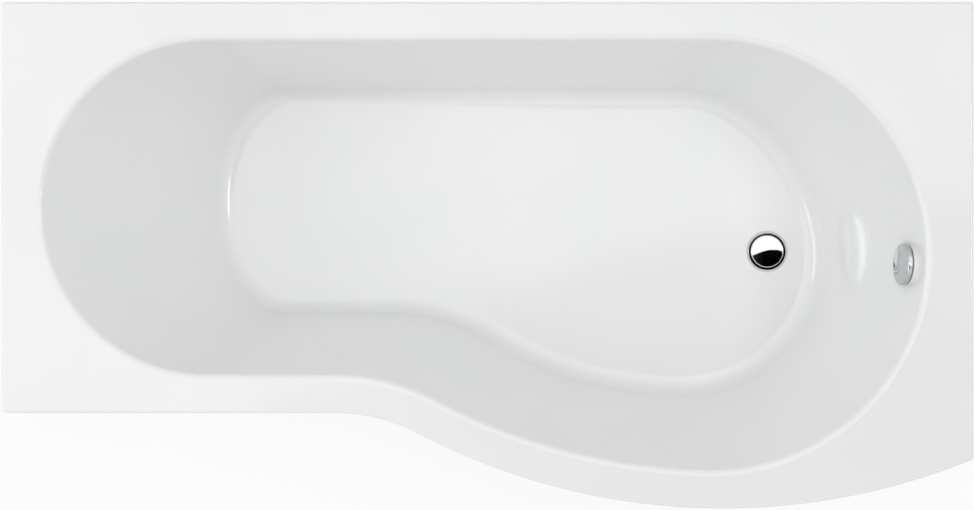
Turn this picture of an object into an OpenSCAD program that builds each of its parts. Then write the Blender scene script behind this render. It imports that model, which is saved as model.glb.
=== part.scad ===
// P shaped shower bath with a pop-up waste, in millimetres.
// The wide, showering end is at +X, the wall side is at +Y, and the feet stand on Z = 0.

/* [Bath] */
// Length of the rim
bath_l = 1650; // [1560:5:1750]
// Width of the rim at the showering end
wide_w = 860; // [830:1:900]
// Width of the rim at the narrow end
narrow_w = 698; // [660:1:730]
// Height of the rim above the floor it stands on
bath_h = 545; // [520:1:580]
// Depth of the well at the waste, from the rim
well_depth = 395; // [360:1:405]
// Thickness of the acrylic with its glass fibre backing
shell_t = 7; // [5:0.5:8]

/* [Front curve] */
// From the showering end to the widest point of the bulge
crown_in = 425; // [400:5:450]
// From the showering end to the start of the front curve
curve_in = 1083; // [1040:1:1120]
// Radius of the bulge
bulge_r = 1120; // [1000:10:1180]

/* [Rim] */
// Width of the rim along the back and the front
rim_w = 64; // [60:0.5:70]
// Width of the rim at the head
head_rim_w = 66.5; // [62:0.5:80]
// Width of the rim at the showering end
foot_rim_w = 79; // [72:0.5:90]
// Depth of the down-turned lip
lip_h = 30; // [20:1:40]
// Thickness of the lip
lip_t = 5; // [4:0.5:6]
// Corner radius at the head
head_corner_r = 9; // [7:0.5:20]
// Corner radius at the showering end
foot_corner_r = 6; // [5.5:0.5:16]
// Rounding of the rim's outer edge
edge_r = 5; // [3:0.5:5]
// Rounding where the rim rolls over into the well
mouth_r = 13; // [10:0.5:18]

/* [Well floor] */
// From the back edge to the foot of the back wall
floor_back_in = 128; // [115:1:140]
// From the narrow front edge to the foot of its wall
floor_front_in = 168; // [155:1:180]
// From the front of the bulge to the foot of its wall
floor_bulge_in = 178; // [165:1:190]
// From the head end to the foot of the backrest
floor_head_in = 337; // [300:1:360]
// From the showering end to the foot of its wall
floor_foot_in = 210; // [195:1:225]
// Length of the floor's rounded head end
head_oval_l = 128; // [110:1:150]
// Length of the floor's rounded showering end
foot_oval_l = 255; // [240:1:270]
// From the showering end to the start of the floor's front curve
floor_curve_in = 995; // [960:1:1030]
// Radius of the floor's hollow curve at the front
floor_hollow_r = 330; // [280:5:380]
// Squareness of the floor's back corner at the showering end, where 2 is an ellipse
foot_back_power = 1.8; // [1.7:0.05:2.2]
// Cove between floor and walls
cove_r = 38; // [30:1:45]
// Cove between floor and backrest
head_cove_r = 50; // [40:1:70]
// Rise of the floor from the waste to the head
floor_fall = 8; // [0:1:12]

/* [Waste] */
// From the showering end to the waste
waste_in = 304; // [290:1:320]
// Waste, from the middle of the width
waste_y = 7; // [-10:1:20]
// Radius of the hole in the floor
waste_hole_r = 26; // [25:0.5:28]
// Radius of the waste's flange
flange_r = 35; // [34:0.5:38]
// Thickness of the flange
flange_t = 2.5; // [2:0.25:3]
// Radius of the flange's neck
neck_r = 23; // [22:0.5:24]
// Depth of the recess that the flange lies in
recess_d = 3; // [2:0.25:4]
// Thickness of the gaskets
gasket_t = 1.5; // [1:0.25:2.5]
// Radius of the waste's tail
tail_r = 23.9; // [23:0.1:24.5]
// Length of the waste's tail
tail_l = 21; // [18:1:26]
// Radius of the plug's cover
plug_r = 30; // [29:0.5:31]
// Height of the plug's dome
plug_dome_h = 5; // [3:0.5:8]
// Radius of the plug's stem
stem_r = 4; // [3:0.5:5]
// Lift of the plug
plug_lift = 9.5; // [6:0.5:10]

/* [Overflow] */
// Overflow below the rim
overflow_drop = 60; // [56:1:90]
// Overflow, from the middle of the width
overflow_y = -17; // [-30:1:15]
// Lean of the overflow's seat, from upright
overflow_lean = 12; // [9:0.5:16]
// Radius of the hole in the end wall
overflow_hole_r = 26; // [25:0.5:27]
// Radius of the overflow knob
knob_r = 36.5; // [35.5:0.5:40]
// Height of the knob
knob_h = 8.5; // [8:0.5:14]
// Gap behind the knob that lets the water in
knob_gap = 3.5; // [3:0.5:6]
// Radius of the knob's spindle
spindle_r = 4; // [3:0.5:5]
// Outer radius of the hose's ribs
hose_r = 15; // [13:0.5:16]
// Bore radius of the hose
hose_bore_r = 11; // [9:0.5:12]
// Spacing of the hose's ribs
rib_pitch = 5; // [4:0.5:8]
// Radius of the control cable
cable_r = 2.5; // [2:0.25:3]

/* [Underside] */
// Thickness of the baseboard
board_t = 18; // [15:1:22]
// Thickness of the rim battens
batten_t = 18; // [15:1:22]
// Width of the rim battens
batten_w = 40; // [30:1:42]
// Width of the cradle rails
rail_w = 40; // [35:1:50]
// Depth of the cradle rails
rail_h = 26; // [20:1:30]
// Thickness of the rails' steel
rail_t = 2.5; // [2:0.25:3]
// From the showering end to the head rail
head_rail_in = 1155; // [1120:5:1170]
// From the showering end to the foot rail
foot_rail_in = 415; // [405:5:450]
// From the showering end to the middle leg
centre_leg_in = 775; // [700:5:850]
// Radius of the levelling studs
stud_r = 6; // [5:0.5:7]
// Radius of the foot pads
pad_r = 25; // [20:1:28]
// Height of the foot pads
pad_h = 14; // [11:1:16]
// Distance between the two wall brackets
bracket_span = 900; // [700:10:1100]
// Thickness of the wall brackets
bracket_t = 3; // [2:0.5:4]
// Radius of the holes in the wall brackets
bracket_hole_r = 3; // [2.5:0.25:3.5]
// Distance between the two holes of a wall bracket
bracket_pitch = 24; // [20:1:30]
// Radius of the wood screws
screw_r = 2.1; // [1.8:0.1:2.6]

/* [Fits] */
// Radial clearance of a shaft in its bore
run_gap = 0.05; // [0.03:0.01:0.1]
// Gap between pieces that only lie beside each other
side_gap = 0.3; // [0.2:0.05:0.4]

/* [Hidden] */
$fn = 64;
cut = 1;

// Levels
rim_z = bath_h;
floor_z = bath_h - well_depth;
base_z = floor_z - shell_t;
board_z = base_z - board_t;
rail_z = board_z - rail_h;

// Outer outline
end_x = bath_l / 2;
back_y = wide_w / 2;
narrow_y = back_y - narrow_w;
wide_y = -back_y;

// ---- plane and space geometry ----

function unit(v) = v / norm(v);
function level(p, z) = [p.x, p.y, z];
function mix(a, b, t) = a + (b - a) * t;
function on_circle(c, r, a) = c + r * [cos(a), sin(a)];
function on_oval(c, size, a, power) =
  c + [
    size.x * sign(cos(a)) * pow(abs(cos(a)), 2 / power),
    size.y * sign(sin(a)) * pow(abs(sin(a)), 2 / power)
  ];

// Even steps that leave the last value to the next stretch, and even steps between two values
function steps(a, b, n) = [for (i = [0 : n - 1]) mix(a, b, i / n)];
function between(a, b, n) = [for (i = [1 : n]) mix(a, b, i / (n + 1))];

// The sum of the radii of two arcs that join two levels, d along and e apart, in one S curve
function s_radii(d, e) = (d * d + e * e) / (2 * e);

// Where a ray from c meets a line of constant x or y, or leaves a circle
function ray_to_x(c, a, x) = [x, c.y + (x - c.x) * sin(a) / cos(a)];
function ray_to_y(c, a, y) = [c.x + (y - c.y) * cos(a) / sin(a), y];
function ray_to_circle(c, a, m, r) =
  let (u = [cos(a), sin(a)], w = c - m, b = w * u)
  c + u * (sqrt(b * b - w * w + r * r) - b);

// Points along the rounding of radius r in a corner at p, from the leg along u to the leg along v
function rounding(p, u, v, r, n) =
  let (
    half = acos(u * v) / 2,
    c = p + unit(u + v) * r / sin(half),
    a = p + u * r / tan(half) - c,
    b = p + v * r / tan(half) - c,
    turn = 180 - 2 * half
  )
  [for (i = [0 : n]) c + (a * sin(turn * (1 - i / n)) + b * sin(turn * i / n)) / sin(turn)];

// ---- outlines of the rim, the mouth and the floor, with one point on each for every spoke ----

crown = [end_x - crown_in, wide_y + bulge_r];
s_turn = asin((curve_in - crown_in) / s_radii(curve_in - crown_in, narrow_y - wide_y));
hollow_r = s_radii(curve_in - crown_in, narrow_y - wide_y) - bulge_r;
hollow = [end_x - curve_in, narrow_y - hollow_r];

// The mouth's head is half a circle; its foot circle touches the back, the end and the bulge.
mouth_back_y = back_y - rim_w;
mouth_bulge_r = bulge_r - rim_w;
head_r = narrow_w / 2 - rim_w;
head_c = [-end_x + head_rim_w + head_r, mouth_back_y - head_r];
foot_along = end_x - foot_rim_w - crown.x;
foot_across = crown.y - mouth_back_y;
foot_k = mouth_bulge_r + foot_across - foot_along;
foot_r = sqrt(pow(foot_k, 2) + pow(mouth_bulge_r, 2) - pow(foot_along, 2) - pow(foot_across, 2)) - foot_k;
foot_c = [end_x - foot_rim_w - foot_r, mouth_back_y - foot_r];
foot_start = 360 + atan2(foot_c.y - crown.y, foot_c.x - crown.x);

floor_back_y = back_y - floor_back_in;
floor_front_y = narrow_y + floor_front_in;
floor_wide_y = wide_y + floor_bulge_in;
floor_head_x = -end_x + floor_head_in;
floor_foot_x = end_x - floor_foot_in;
floor_head_c = [floor_head_x + head_oval_l, (floor_back_y + floor_front_y) / 2];
floor_head_w = (floor_back_y - floor_front_y) / 2;
floor_foot_c = [floor_foot_x - foot_oval_l, foot_c.y];
floor_curve_x = end_x - floor_curve_in;
floor_s_along = floor_foot_c.x - floor_curve_x;
floor_s_sum = s_radii(floor_s_along, floor_front_y - floor_wide_y);
floor_s_turn = asin(floor_s_along / floor_s_sum);
floor_bulge_r = floor_s_sum - floor_hollow_r;

// How many spokes each stretch of the outline has
back_n = 14;
end_n = 7;
corner_n = 5;
front_n = 5;
hollow_n = 7;
bulge_n = 8;

// Corners of the rim when its outline is drawn in by d, as centre and radius
tight_r = 0.4;
function drawn_in(r, d) = max(r - d, tight_r);
function head_back_corner(d) =
  let (r = drawn_in(head_corner_r, d)) [[-end_x + d + r, back_y - d - r], r];
function head_front_corner(d) =
  let (r = drawn_in(head_corner_r, d)) [[-end_x + d + r, narrow_y + d + r], r];
function foot_back_corner(d) =
  let (r = drawn_in(foot_corner_r, d)) [[end_x - d - r, back_y - d - r], r];
function foot_front_corner(d) =
  let (r = drawn_in(foot_corner_r, d), x = end_x - d - r)
  [[x, crown.y - sqrt(pow(bulge_r - d - r, 2) - pow(x - crown.x, 2))], r];

// The angles at which a round end's centre sees the points of a corner
function seen_from(c, corner, a, b) =
  [for (i = [0 : corner_n - 1])
    let (p = on_circle(corner[0], corner[1], mix(a, b, i / (corner_n - 1))) - c)
    atan2(p.y, p.x)];
function turned(angles) = [for (a = angles) a < 0 ? a + 360 : a];

ff = foot_front_corner(0);
ff_turn = atan2(ff[0].y - crown.y, ff[0].x - crown.x);
hb_angles = seen_from(head_c, head_back_corner(0), 90, 180);
hf_angles = turned(seen_from(head_c, head_front_corner(0), 180, 270));
ff_angles = [for (a = seen_from(foot_c, ff, ff_turn, 0)) a + 360];
fb_angles = [for (a = seen_from(foot_c, foot_back_corner(0), 0, 90)) a + 360];
last = corner_n - 1;
head_angles = concat(
  steps(90, hb_angles[0], end_n), hb_angles, between(hb_angles[last], hf_angles[0], 2 * end_n),
  hf_angles, between(hf_angles[last], 270, end_n)
);
foot_angles = concat(
  steps(foot_start, ff_angles[0], end_n), ff_angles, between(ff_angles[last], fb_angles[0], 2 * end_n),
  fb_angles, between(fb_angles[last], 450, end_n)
);

// Where a ray of a round end meets the rim's outline, drawn in by d
function head_rim(a, d) =
  let (
    to_back = ray_to_y(head_c, a, back_y - d),
    to_front = ray_to_y(head_c, a, narrow_y + d),
    to_end = ray_to_x(head_c, a, -end_x + d),
    b = head_back_corner(d),
    f = head_front_corner(d)
  )
  a < 180 && to_back.x > b[0].x ? to_back
  : a > 180 && to_front.x > f[0].x ? to_front
  : to_end.y > b[0].y ? ray_to_circle(head_c, a, b[0], b[1])
  : to_end.y < f[0].y ? ray_to_circle(head_c, a, f[0], f[1])
  : to_end;
function foot_rim(a, d) =
  let (
    to_bulge = ray_to_circle(foot_c, a, crown, bulge_r - d),
    to_back = ray_to_y(foot_c, a, back_y - d),
    to_end = ray_to_x(foot_c, a, end_x - d),
    f = foot_front_corner(d),
    b = foot_back_corner(d),
    f_start = crown + (bulge_r - d) * unit(f[0] - crown)
  )
  a < 360 && to_bulge.x < f_start.x ? to_bulge
  : a < 360 && to_end.y < f[0].y ? ray_to_circle(foot_c, a, f[0], f[1])
  : a > 360 && to_back.x < b[0].x ? to_back
  : a > 360 && to_end.y > b[0].y ? ray_to_circle(foot_c, a, b[0], b[1])
  : to_end;

function rim_outline(d) = concat(
  [for (x = steps(foot_c.x, head_c.x, back_n)) [x, back_y - d]],
  [for (a = head_angles) head_rim(a, d)],
  [for (x = steps(head_c.x, hollow.x, front_n)) [x, narrow_y + d]],
  [for (a = steps(90, 90 - s_turn, hollow_n)) on_circle(hollow, hollow_r + d, a)],
  [for (a = steps(270 - s_turn, foot_start, bulge_n)) on_circle(crown, bulge_r - d, a)],
  [for (a = foot_angles) foot_rim(a, d)]
);

mouth_outline = concat(
  [for (x = steps(foot_c.x, head_c.x, back_n)) [x, mouth_back_y]],
  [for (a = head_angles) on_circle(head_c, head_r, a)],
  [for (x = steps(head_c.x, hollow.x, front_n)) [x, narrow_y + rim_w]],
  [for (a = steps(90, 90 - s_turn, hollow_n)) on_circle(hollow, hollow_r + rim_w, a)],
  [for (a = steps(270 - s_turn, foot_start, bulge_n)) on_circle(crown, mouth_bulge_r, a)],
  [for (a = foot_angles) on_circle(foot_c, foot_r, a)]
);

// The floor's foot is a quarter oval at the front and a squarer or slimmer one at the back.
function floor_foot(a) =
  let (t = 450 - (450 - a) * 180 / (450 - foot_start))
  t < 360
    ? on_oval(floor_foot_c, [foot_oval_l, floor_foot_c.y - floor_wide_y], t, 2)
    : on_oval(floor_foot_c, [foot_oval_l, floor_back_y - floor_foot_c.y], t, foot_back_power);
floor_hollow = [floor_curve_x, floor_front_y - floor_hollow_r];
floor_crown = [floor_foot_c.x, floor_wide_y + floor_bulge_r];
floor_outline = concat(
  [for (x = steps(floor_foot_c.x, floor_head_c.x, back_n)) [x, floor_back_y]],
  [for (a = head_angles) on_oval(floor_head_c, [head_oval_l, floor_head_w], a, 2)],
  [for (x = steps(floor_head_c.x, floor_curve_x, front_n)) [x, floor_front_y]],
  [for (a = steps(90, 90 - floor_s_turn, hollow_n)) on_circle(floor_hollow, floor_hollow_r, a)],
  [for (a = steps(270 - floor_s_turn, 270, bulge_n)) on_circle(floor_crown, floor_bulge_r, a)],
  [for (a = foot_angles) floor_foot(a)]
);

// ---- the shell ----

waste_c = [end_x - waste_in, waste_y];
floor_slope = floor_fall / (waste_c.x - floor_head_x);
function floor_level(x) = floor_z + floor_slope * (waste_c.x - x);

cove_n = 6;
under_n = 4;
edge_steps = [90 : -22.5 : 0];
rim_insets = concat([for (a = edge_steps) edge_r * (1 - cos(a))], [0, lip_t, lip_t]);
rim_levels = concat(
  [for (a = edge_steps) rim_z - edge_r * (1 - sin(a))],
  [rim_z - lip_h, rim_z - lip_h, rim_z - shell_t]
);
rim_rings = [for (i = [0 : len(rim_insets) - 1]) rim_outline(rim_insets[i])];

// One spoke's points, from the middle of the floor out over the rim and back below it
function spoke(k) =
  let (
    m = mouth_outline[k],
    f = floor_outline[k],
    out = unit(m - f),
    rim_out = level(unit(rim_rings[0][k] - m), 0),
    tilt = atan(norm(m - f) / well_depth),
    push = out * shell_t * tan(45 - tilt / 2),
    steep = max(0, -out.x),
    cove = mix(cove_r, head_cove_r, steep * steep),
    top = level(m, rim_z),
    foot = level(f, floor_level(f.x)),
    up = unit(top - foot),
    in = unit([-out.x, -out.y, floor_slope * out.x]),
    under_top = level(m + push, rim_z - shell_t),
    under_foot = level(f + push, base_z),
    under_up = unit(under_top - under_foot),
    under_in = level(-out, 0)
  )
  concat(
    rounding(foot, in, up, cove, cove_n),
    rounding(top, -up, rim_out, mouth_r, cove_n),
    [for (i = [0 : len(rim_rings) - 1]) level(rim_rings[i][k], rim_levels[i])],
    rounding(under_top, rim_out, -under_up, mouth_r - shell_t, under_n),
    rounding(under_foot, under_up, under_in, cove + shell_t, under_n)
  );

module shell_skin() {
  spokes = [for (k = [0 : len(mouth_outline) - 1]) spoke(k)];
  n = len(spokes);
  m = len(spokes[0]);
  polyhedron(
    points = [for (s = spokes) each s],
    faces = concat(
      [for (k = [0 : n - 1], j = [0 : m - 2])
        let (a = k * m + j, b = (k + 1) % n * m + j) each [[a, b, b + 1], [a, b + 1, a + 1]]],
      [[for (k = [n - 1 : -1 : 0]) k * m]],
      [[for (k = [0 : n - 1]) k * m + m - 1]]
    ),
    convexity = 8
  );
}

// Frame of the overflow: its origin on its moulded seat, z into the bath, x up the wall
overflow_z = rim_z - overflow_drop;
overflow_share = (overflow_z - floor_z) / well_depth;
overflow_turn =
  asin((overflow_y - foot_c.y) / mix(foot_c.y - floor_wide_y, foot_r, overflow_share)) + 360;
function foot_wall(a, t) = mix(floor_foot(a), on_circle(foot_c, foot_r, a), t);
overflow_along =
  foot_wall(overflow_turn + 1, overflow_share) - foot_wall(overflow_turn - 1, overflow_share);
overflow_bearing = atan2(-overflow_along.x, overflow_along.y);
wall_tilt = atan(norm(foot_wall(overflow_turn, 1) - foot_wall(overflow_turn, 0)) / well_depth);
wall_point = level(foot_wall(overflow_turn, overflow_share), overflow_z);
seat_r = 35;
outer_seat_r = 40;
seat_step = 0.6;
seat_lift = seat_r * tan(wall_tilt - overflow_lean) + seat_step;
seat_back = seat_lift + outer_seat_r * tan(wall_tilt - overflow_lean) + shell_t + seat_step;
ex = [
  sin(overflow_lean) * cos(overflow_bearing), sin(overflow_lean) * sin(overflow_bearing), cos(overflow_lean)
];
ey = [-sin(overflow_bearing), cos(overflow_bearing), 0];
ez = cross(ex, ey);
seat = wall_point + ez * seat_lift;
function from_overflow(p) = seat + ex * p.x + ey * p.y + ez * p.z;
module on_end_wall(p, lean) {
  translate(p) rotate([0, lean - 90, overflow_bearing]) children();
}
module at_overflow() {
  on_end_wall(seat, overflow_lean) children();
}
module at_waste(z) {
  translate([waste_c.x, waste_c.y, z]) children();
}

waste_pad_t = 3;
waste_pad_r = 44;
recess_r = flange_r + 2.5;
recess_z = floor_z - recess_d;
waste_pad_z = base_z - waste_pad_t;
module bath_shell() {
  color("white") difference() {
    union() {
      shell_skin();
      at_waste(waste_pad_z) cylinder(r = waste_pad_r, h = waste_pad_t + shell_t / 2);
      at_overflow() translate([0, 0, -seat_back]) cylinder(r = seat_r, h = seat_back);
      difference() {
        at_overflow() translate([0, 0, -seat_back]) cylinder(r = outer_seat_r, h = seat_back);
        on_end_wall(wall_point, wall_tilt) translate([-2 * seat_r, -2 * seat_r, -shell_t / 2])
          cube([4 * seat_r, 4 * seat_r, 2 * seat_r]);
      }
    }
    at_waste(recess_z) cylinder(r = recess_r, h = recess_d + cut);
    at_waste(waste_pad_z - cut) cylinder(r = waste_hole_r, h = well_depth);
    at_overflow() translate([0, 0, -seat_back - cut]) cylinder(r = overflow_hole_r, h = seat_back + 2 * cut);
  }
}

// ---- timber below the rim and the floor ----

batten_in = 8;
batten_z = rim_z - shell_t - batten_t;
batten_end = 50;
board_head_in = 425;
board_foot_in = 255;
board_back_in = 175;
board_front_in = 188;
board_chamfer = 60;
notch_w = 130;
notch_in = 365;
screw_l = 14;

module strip(x0, x1, y0, y1) {
  translate([x0, y0, batten_z]) cube([x1 - x0, y1 - y0, batten_t]);
}
module screw_holes(places, z, h) {
  for (p = places) translate([p.x, p.y, z]) cylinder(r = screw_r, h = h);
}

module baseboard() {
  x0 = -end_x + board_head_in;
  x1 = end_x - board_foot_in;
  y0 = narrow_y + board_front_in;
  y1 = back_y - board_back_in;
  c = board_chamfer;
  color("burlywood") difference() {
    translate([0, 0, board_z]) linear_extrude(board_t) polygon([
      [x0 + c, y0], [x1 - c, y0], [x1, y0 + c], [x1, y1 - c],
      [x1 - c, y1], [x0 + c, y1], [x0, y1 - c], [x0, y0 + c]
    ]);
    translate([end_x - notch_in, waste_y - notch_w / 2, board_z - cut])
      cube([notch_in, notch_w, board_t + 2 * cut]);
    screw_holes(concat(rail_screw_places, plate_screw_places), board_z - cut, screw_l + cut);
  }
}

module back_batten() {
  color("tan") difference() {
    strip(
      -end_x + batten_in + batten_w + batten_end, end_x - batten_in - batten_w - batten_end,
      back_y - batten_in - batten_w, back_y - batten_in
    );
    screw_holes(bracket_screw_places, batten_z - cut, screw_l + cut);
  }
}
module head_batten() {
  color("tan") strip(
    -end_x + batten_in, -end_x + batten_in + batten_w, narrow_y + batten_end, back_y - batten_end
  );
}
module foot_batten() {
  color("tan") strip(
    end_x - batten_in - batten_w, end_x - batten_in,
    foot_front_corner(0)[0].y + batten_end / 2, back_y - batten_end
  );
}
module front_batten() {
  color("tan") strip(
    -end_x + batten_in + batten_w + batten_end, hollow.x,
    narrow_y + batten_in, narrow_y + batten_in + batten_w
  );
}
bulge_batten_turns = [252, 284];
module bulge_batten() {
  r = bulge_r - batten_in;
  a0 = bulge_batten_turns[0];
  a1 = bulge_batten_turns[1];
  color("tan") translate([crown.x, crown.y, batten_z]) intersection() {
    difference() {
      cylinder(r = r, h = batten_t, $fn = 180);
      translate([0, 0, -cut]) cylinder(r = r - batten_w, h = batten_t + 2 * cut, $fn = 180);
    }
    translate([0, 0, -cut]) linear_extrude(batten_t + 2 * cut) polygon([
      [0, 0], on_circle([0, 0], 2 * r, a0), on_circle([0, 0], 2 * r, a1)
    ]);
  }
}

// ---- cradle, legs and feet ----

leg_in_front = 65;
leg_in_wall = 68;
rail_overhang = 22;
head_rail_x = end_x - head_rail_in;
foot_rail_x = end_x - foot_rail_in;
wall_leg_y = floor_back_y + leg_in_wall;
head_front_y = floor_front_y - leg_in_front;
foot_front_y = floor_wide_y - leg_in_front;
head_rail_legs = [head_front_y, wall_leg_y];
foot_rail_legs = [foot_front_y, wall_leg_y];
centre_leg = [end_x - centre_leg_in, (floor_back_y + floor_front_y) / 2];
rail_screw_ys = [-50, 40, 130, 220];
rail_screw_dx = 12;
function rail_screws_at(x) = [for (y = rail_screw_ys, side = [-1, 1]) [x + side * rail_screw_dx, y]];
rail_screw_places = concat(rail_screws_at(head_rail_x), rail_screws_at(foot_rail_x));
plate_w = 110;
plate_t = 3;
plate_hole_in = 12;
plate_screw_places = [for (sx = [-1, 1], sy = [-1, 1])
  centre_leg + (plate_w / 2 - plate_hole_in) * [sx, sy]];

stud_gap = 0.5;
stud_z = 5;
stud_top = board_z + 38;
leg_up = 10;
centre_stud_top = board_z - plate_t - leg_up - 1;
nut_r = stud_r * 1.75;
nut_h = stud_r * 1.3;
washer_r = stud_r * 2.1;
washer_t = 1.6;

// Folded steel channel, open downwards, with a hole for each stud and for each wood screw
module rail(x, legs, screws) {
  w = rail_w / 2;
  y0 = legs[0] - rail_overhang;
  y1 = legs[1] + rail_overhang;
  color("silver") difference() {
    translate([x, y1, rail_z]) rotate([90, 0, 0]) linear_extrude(y1 - y0) polygon([
      [-w, 0], [-w + rail_t, 0], [-w + rail_t, rail_h - rail_t], [w - rail_t, rail_h - rail_t],
      [w - rail_t, 0], [w, 0], [w, rail_h], [-w, rail_h]
    ]);
    for (y = legs) translate([x, y, rail_z]) cylinder(r = stud_r + stud_gap, h = rail_h + cut);
    screw_holes(screws, rail_z, rail_h + cut);
  }
}
module head_rail() {
  rail(head_rail_x, head_rail_legs, rail_screws_at(head_rail_x));
}
module foot_rail() {
  rail(foot_rail_x, foot_rail_legs, rail_screws_at(foot_rail_x));
}

socket_r = stud_r + 4;
socket_l = 48;
module centre_plate() {
  color("silver") translate([centre_leg.x, centre_leg.y, 0]) difference() {
    union() {
      translate([-plate_w / 2, -plate_w / 2, board_z - plate_t]) cube([plate_w, plate_w, plate_t]);
      translate([0, 0, board_z - socket_l]) cylinder(r = socket_r, h = socket_l - plate_t / 2);
    }
    translate([0, 0, board_z - socket_l - cut]) cylinder(r = stud_r + run_gap, h = socket_l + 2 * cut);
    screw_holes([for (p = plate_screw_places) p - centre_leg], board_z - plate_t - cut, plate_t + 2 * cut);
  }
}

// A lock nut with its flange, its flat side on z = 0
module lock_nut() {
  difference() {
    union() {
      cylinder(r = washer_r, h = washer_t);
      cylinder(r = nut_r, h = nut_h, $fn = 6);
    }
    translate([0, 0, -cut]) cylinder(r = stud_r + run_gap, h = nut_h + 2 * cut);
  }
}
module rail_nuts() {
  legs = concat([for (y = head_rail_legs) [head_rail_x, y]], [for (y = foot_rail_legs) [foot_rail_x, y]]);
  color("silver") for (p = legs) {
    translate([p.x, p.y, board_z]) lock_nut();
    translate([p.x, p.y, board_z - rail_t]) mirror([0, 0, 1]) lock_nut();
  }
}

// A pan head wood screw that points up, with its head against z = 0
screw_head_r = 4.2;
screw_head_h = 2.4;
module wood_screw(l) {
  translate([0, 0, -screw_head_h])
    cylinder(r1 = screw_head_r - 1, r2 = screw_head_r, h = screw_head_h);
  cylinder(r = screw_r, h = l - screw_r);
  translate([0, 0, l - screw_r]) cylinder(r1 = screw_r, r2 = screw_r / 4, h = screw_r);
}
module rail_screws() {
  color("gold") for (p = rail_screw_places) translate([p.x, p.y, board_z - rail_t]) wood_screw(screw_l);
}
module plate_screws() {
  color("gold") for (p = plate_screw_places) translate([p.x, p.y, board_z - plate_t]) wood_screw(screw_l);
}

// A threaded stud with the lock nut that holds it in its foot pad
module stud(p, top) {
  color("silver") translate([p.x, p.y, 0]) {
    translate([0, 0, stud_z]) cylinder(r = stud_r, h = top - stud_z);
    translate([0, 0, pad_h]) difference() {
      cylinder(r = nut_r, h = nut_h, $fn = 6);
      translate([0, 0, -cut]) cylinder(r = stud_r - 1, h = nut_h + 2 * cut);
    }
  }
}
// A moulded pad with a flared skirt and a socket for the stud
module foot_pad(p) {
  color("dimgray") translate([p.x, p.y, 0]) difference() {
    rotate_extrude() polygon([
      [0, 0], [pad_r - 1, 0], [pad_r, 1], [pad_r, 3.5], [pad_r - 2, 5],
      [stud_r + 7, 6.5], [stud_r + 5, 8], [stud_r + 4.5, pad_h], [0, pad_h]
    ]);
    translate([0, 0, stud_z]) cylinder(r = stud_r, h = pad_h);
  }
}
module head_wall_stud() stud([head_rail_x, wall_leg_y], stud_top);
module head_front_stud() stud([head_rail_x, head_front_y], stud_top);
module foot_wall_stud() stud([foot_rail_x, wall_leg_y], stud_top);
module foot_front_stud() stud([foot_rail_x, foot_front_y], stud_top);
module centre_stud() stud(centre_leg, centre_stud_top);
module head_wall_foot() foot_pad([head_rail_x, wall_leg_y]);
module head_front_foot() foot_pad([head_rail_x, head_front_y]);
module foot_wall_foot() foot_pad([foot_rail_x, wall_leg_y]);
module foot_front_foot() foot_pad([foot_rail_x, foot_front_y]);
module centre_foot() foot_pad(centre_leg);

// ---- wall brackets ----

bracket_w = 40;
bracket_drop = 66;
bracket_reach = 34;
bracket_hole_z = batten_z - bracket_drop + 12;
bracket_screw_dx = 12;
bracket_screw_places = [for (sx = [-1, 1], side = [-1, 1])
  [sx * bracket_span / 2 + side * bracket_screw_dx, back_y - batten_in - batten_w / 2 - 4]];

// A steel strip below the batten that steps out under the lip and hangs down against the wall
module wall_bracket(x) {
  t = bracket_t;
  lip_y = back_y - lip_t - side_gap;
  step_z = rim_z - lip_h - side_gap;
  in_y = lip_y - bracket_reach;
  color("silver") difference() {
    translate([x - bracket_w / 2, 0, 0]) rotate([90, 0, 90]) linear_extrude(bracket_w) polygon([
      [in_y, batten_z], [in_y, batten_z - t], [lip_y - t, batten_z - t], [lip_y - t, step_z - t],
      [back_y - t, step_z - t], [back_y - t, batten_z - bracket_drop], [back_y, batten_z - bracket_drop],
      [back_y, step_z], [lip_y, step_z], [lip_y, batten_z]
    ]);
    for (i = [0, 1]) translate([x, back_y + cut, bracket_hole_z + i * bracket_pitch]) rotate([90, 0, 0])
      cylinder(r = bracket_hole_r, h = bracket_t + 2 * cut);
    screw_holes(bracket_screw_places, batten_z - t - cut, t + 2 * cut);
  }
}
module head_wall_bracket() wall_bracket(-bracket_span / 2);
module foot_wall_bracket() wall_bracket(bracket_span / 2);
module bracket_screws() {
  color("gold") for (p = bracket_screw_places)
    translate([p.x, p.y, batten_z - bracket_t]) wood_screw(screw_l);
}

// ---- waste and plug ----

upper_gasket_z = recess_z + gasket_t;
flange_top_z = upper_gasket_z + flange_t;
cone_top_r = neck_r + 4.5;
cone_foot_r = neck_r - 1.5;
cone_foot_z = flange_top_z - 4;
flare_h = 3;
neck_wall = 2.5;
neck_bottom_z = floor_z - 23;
guide_wall = 3.5;
guide_z = neck_bottom_z + 1;
guide_h = 8;
guide_rib_t = 2.5;
body_flange_t = 6;
body_gasket_t = 2 * gasket_t;
body_top_z = waste_pad_z - body_gasket_t;
body_flange_r = waste_pad_r - 6;
chamber_r = neck_r + 1;
body_r = chamber_r + 3.5;
chamber_z = floor_z - 54;
tail_top_z = chamber_z - 4;
tail_wall = 3.5;
inlet_z = floor_z - 38;
inlet_l = 46;
arm_l = 15;
arm_end_r = 3;
arm_w = 6;
arm_t = 3;
lever_r = 3;
stem_bottom_z = chamber_z + 18;
arm_swing = asin(plug_lift / 2 / arm_l);
lever_c = [-arm_l * cos(arm_swing), stem_bottom_z - side_gap - arm_end_r + plug_lift / 2];
bearing_l = 8;
bearing_r = lever_r + 3.5;
crank_r = 9;
crank_h = 5;
crank_gap = 1;
housing_wall = 2.5;
housing_r = crank_r + crank_gap + housing_wall;
housing_h = crank_h + 2 * crank_gap + 2 * housing_wall;
lever_out = body_r + bearing_l;

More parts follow.
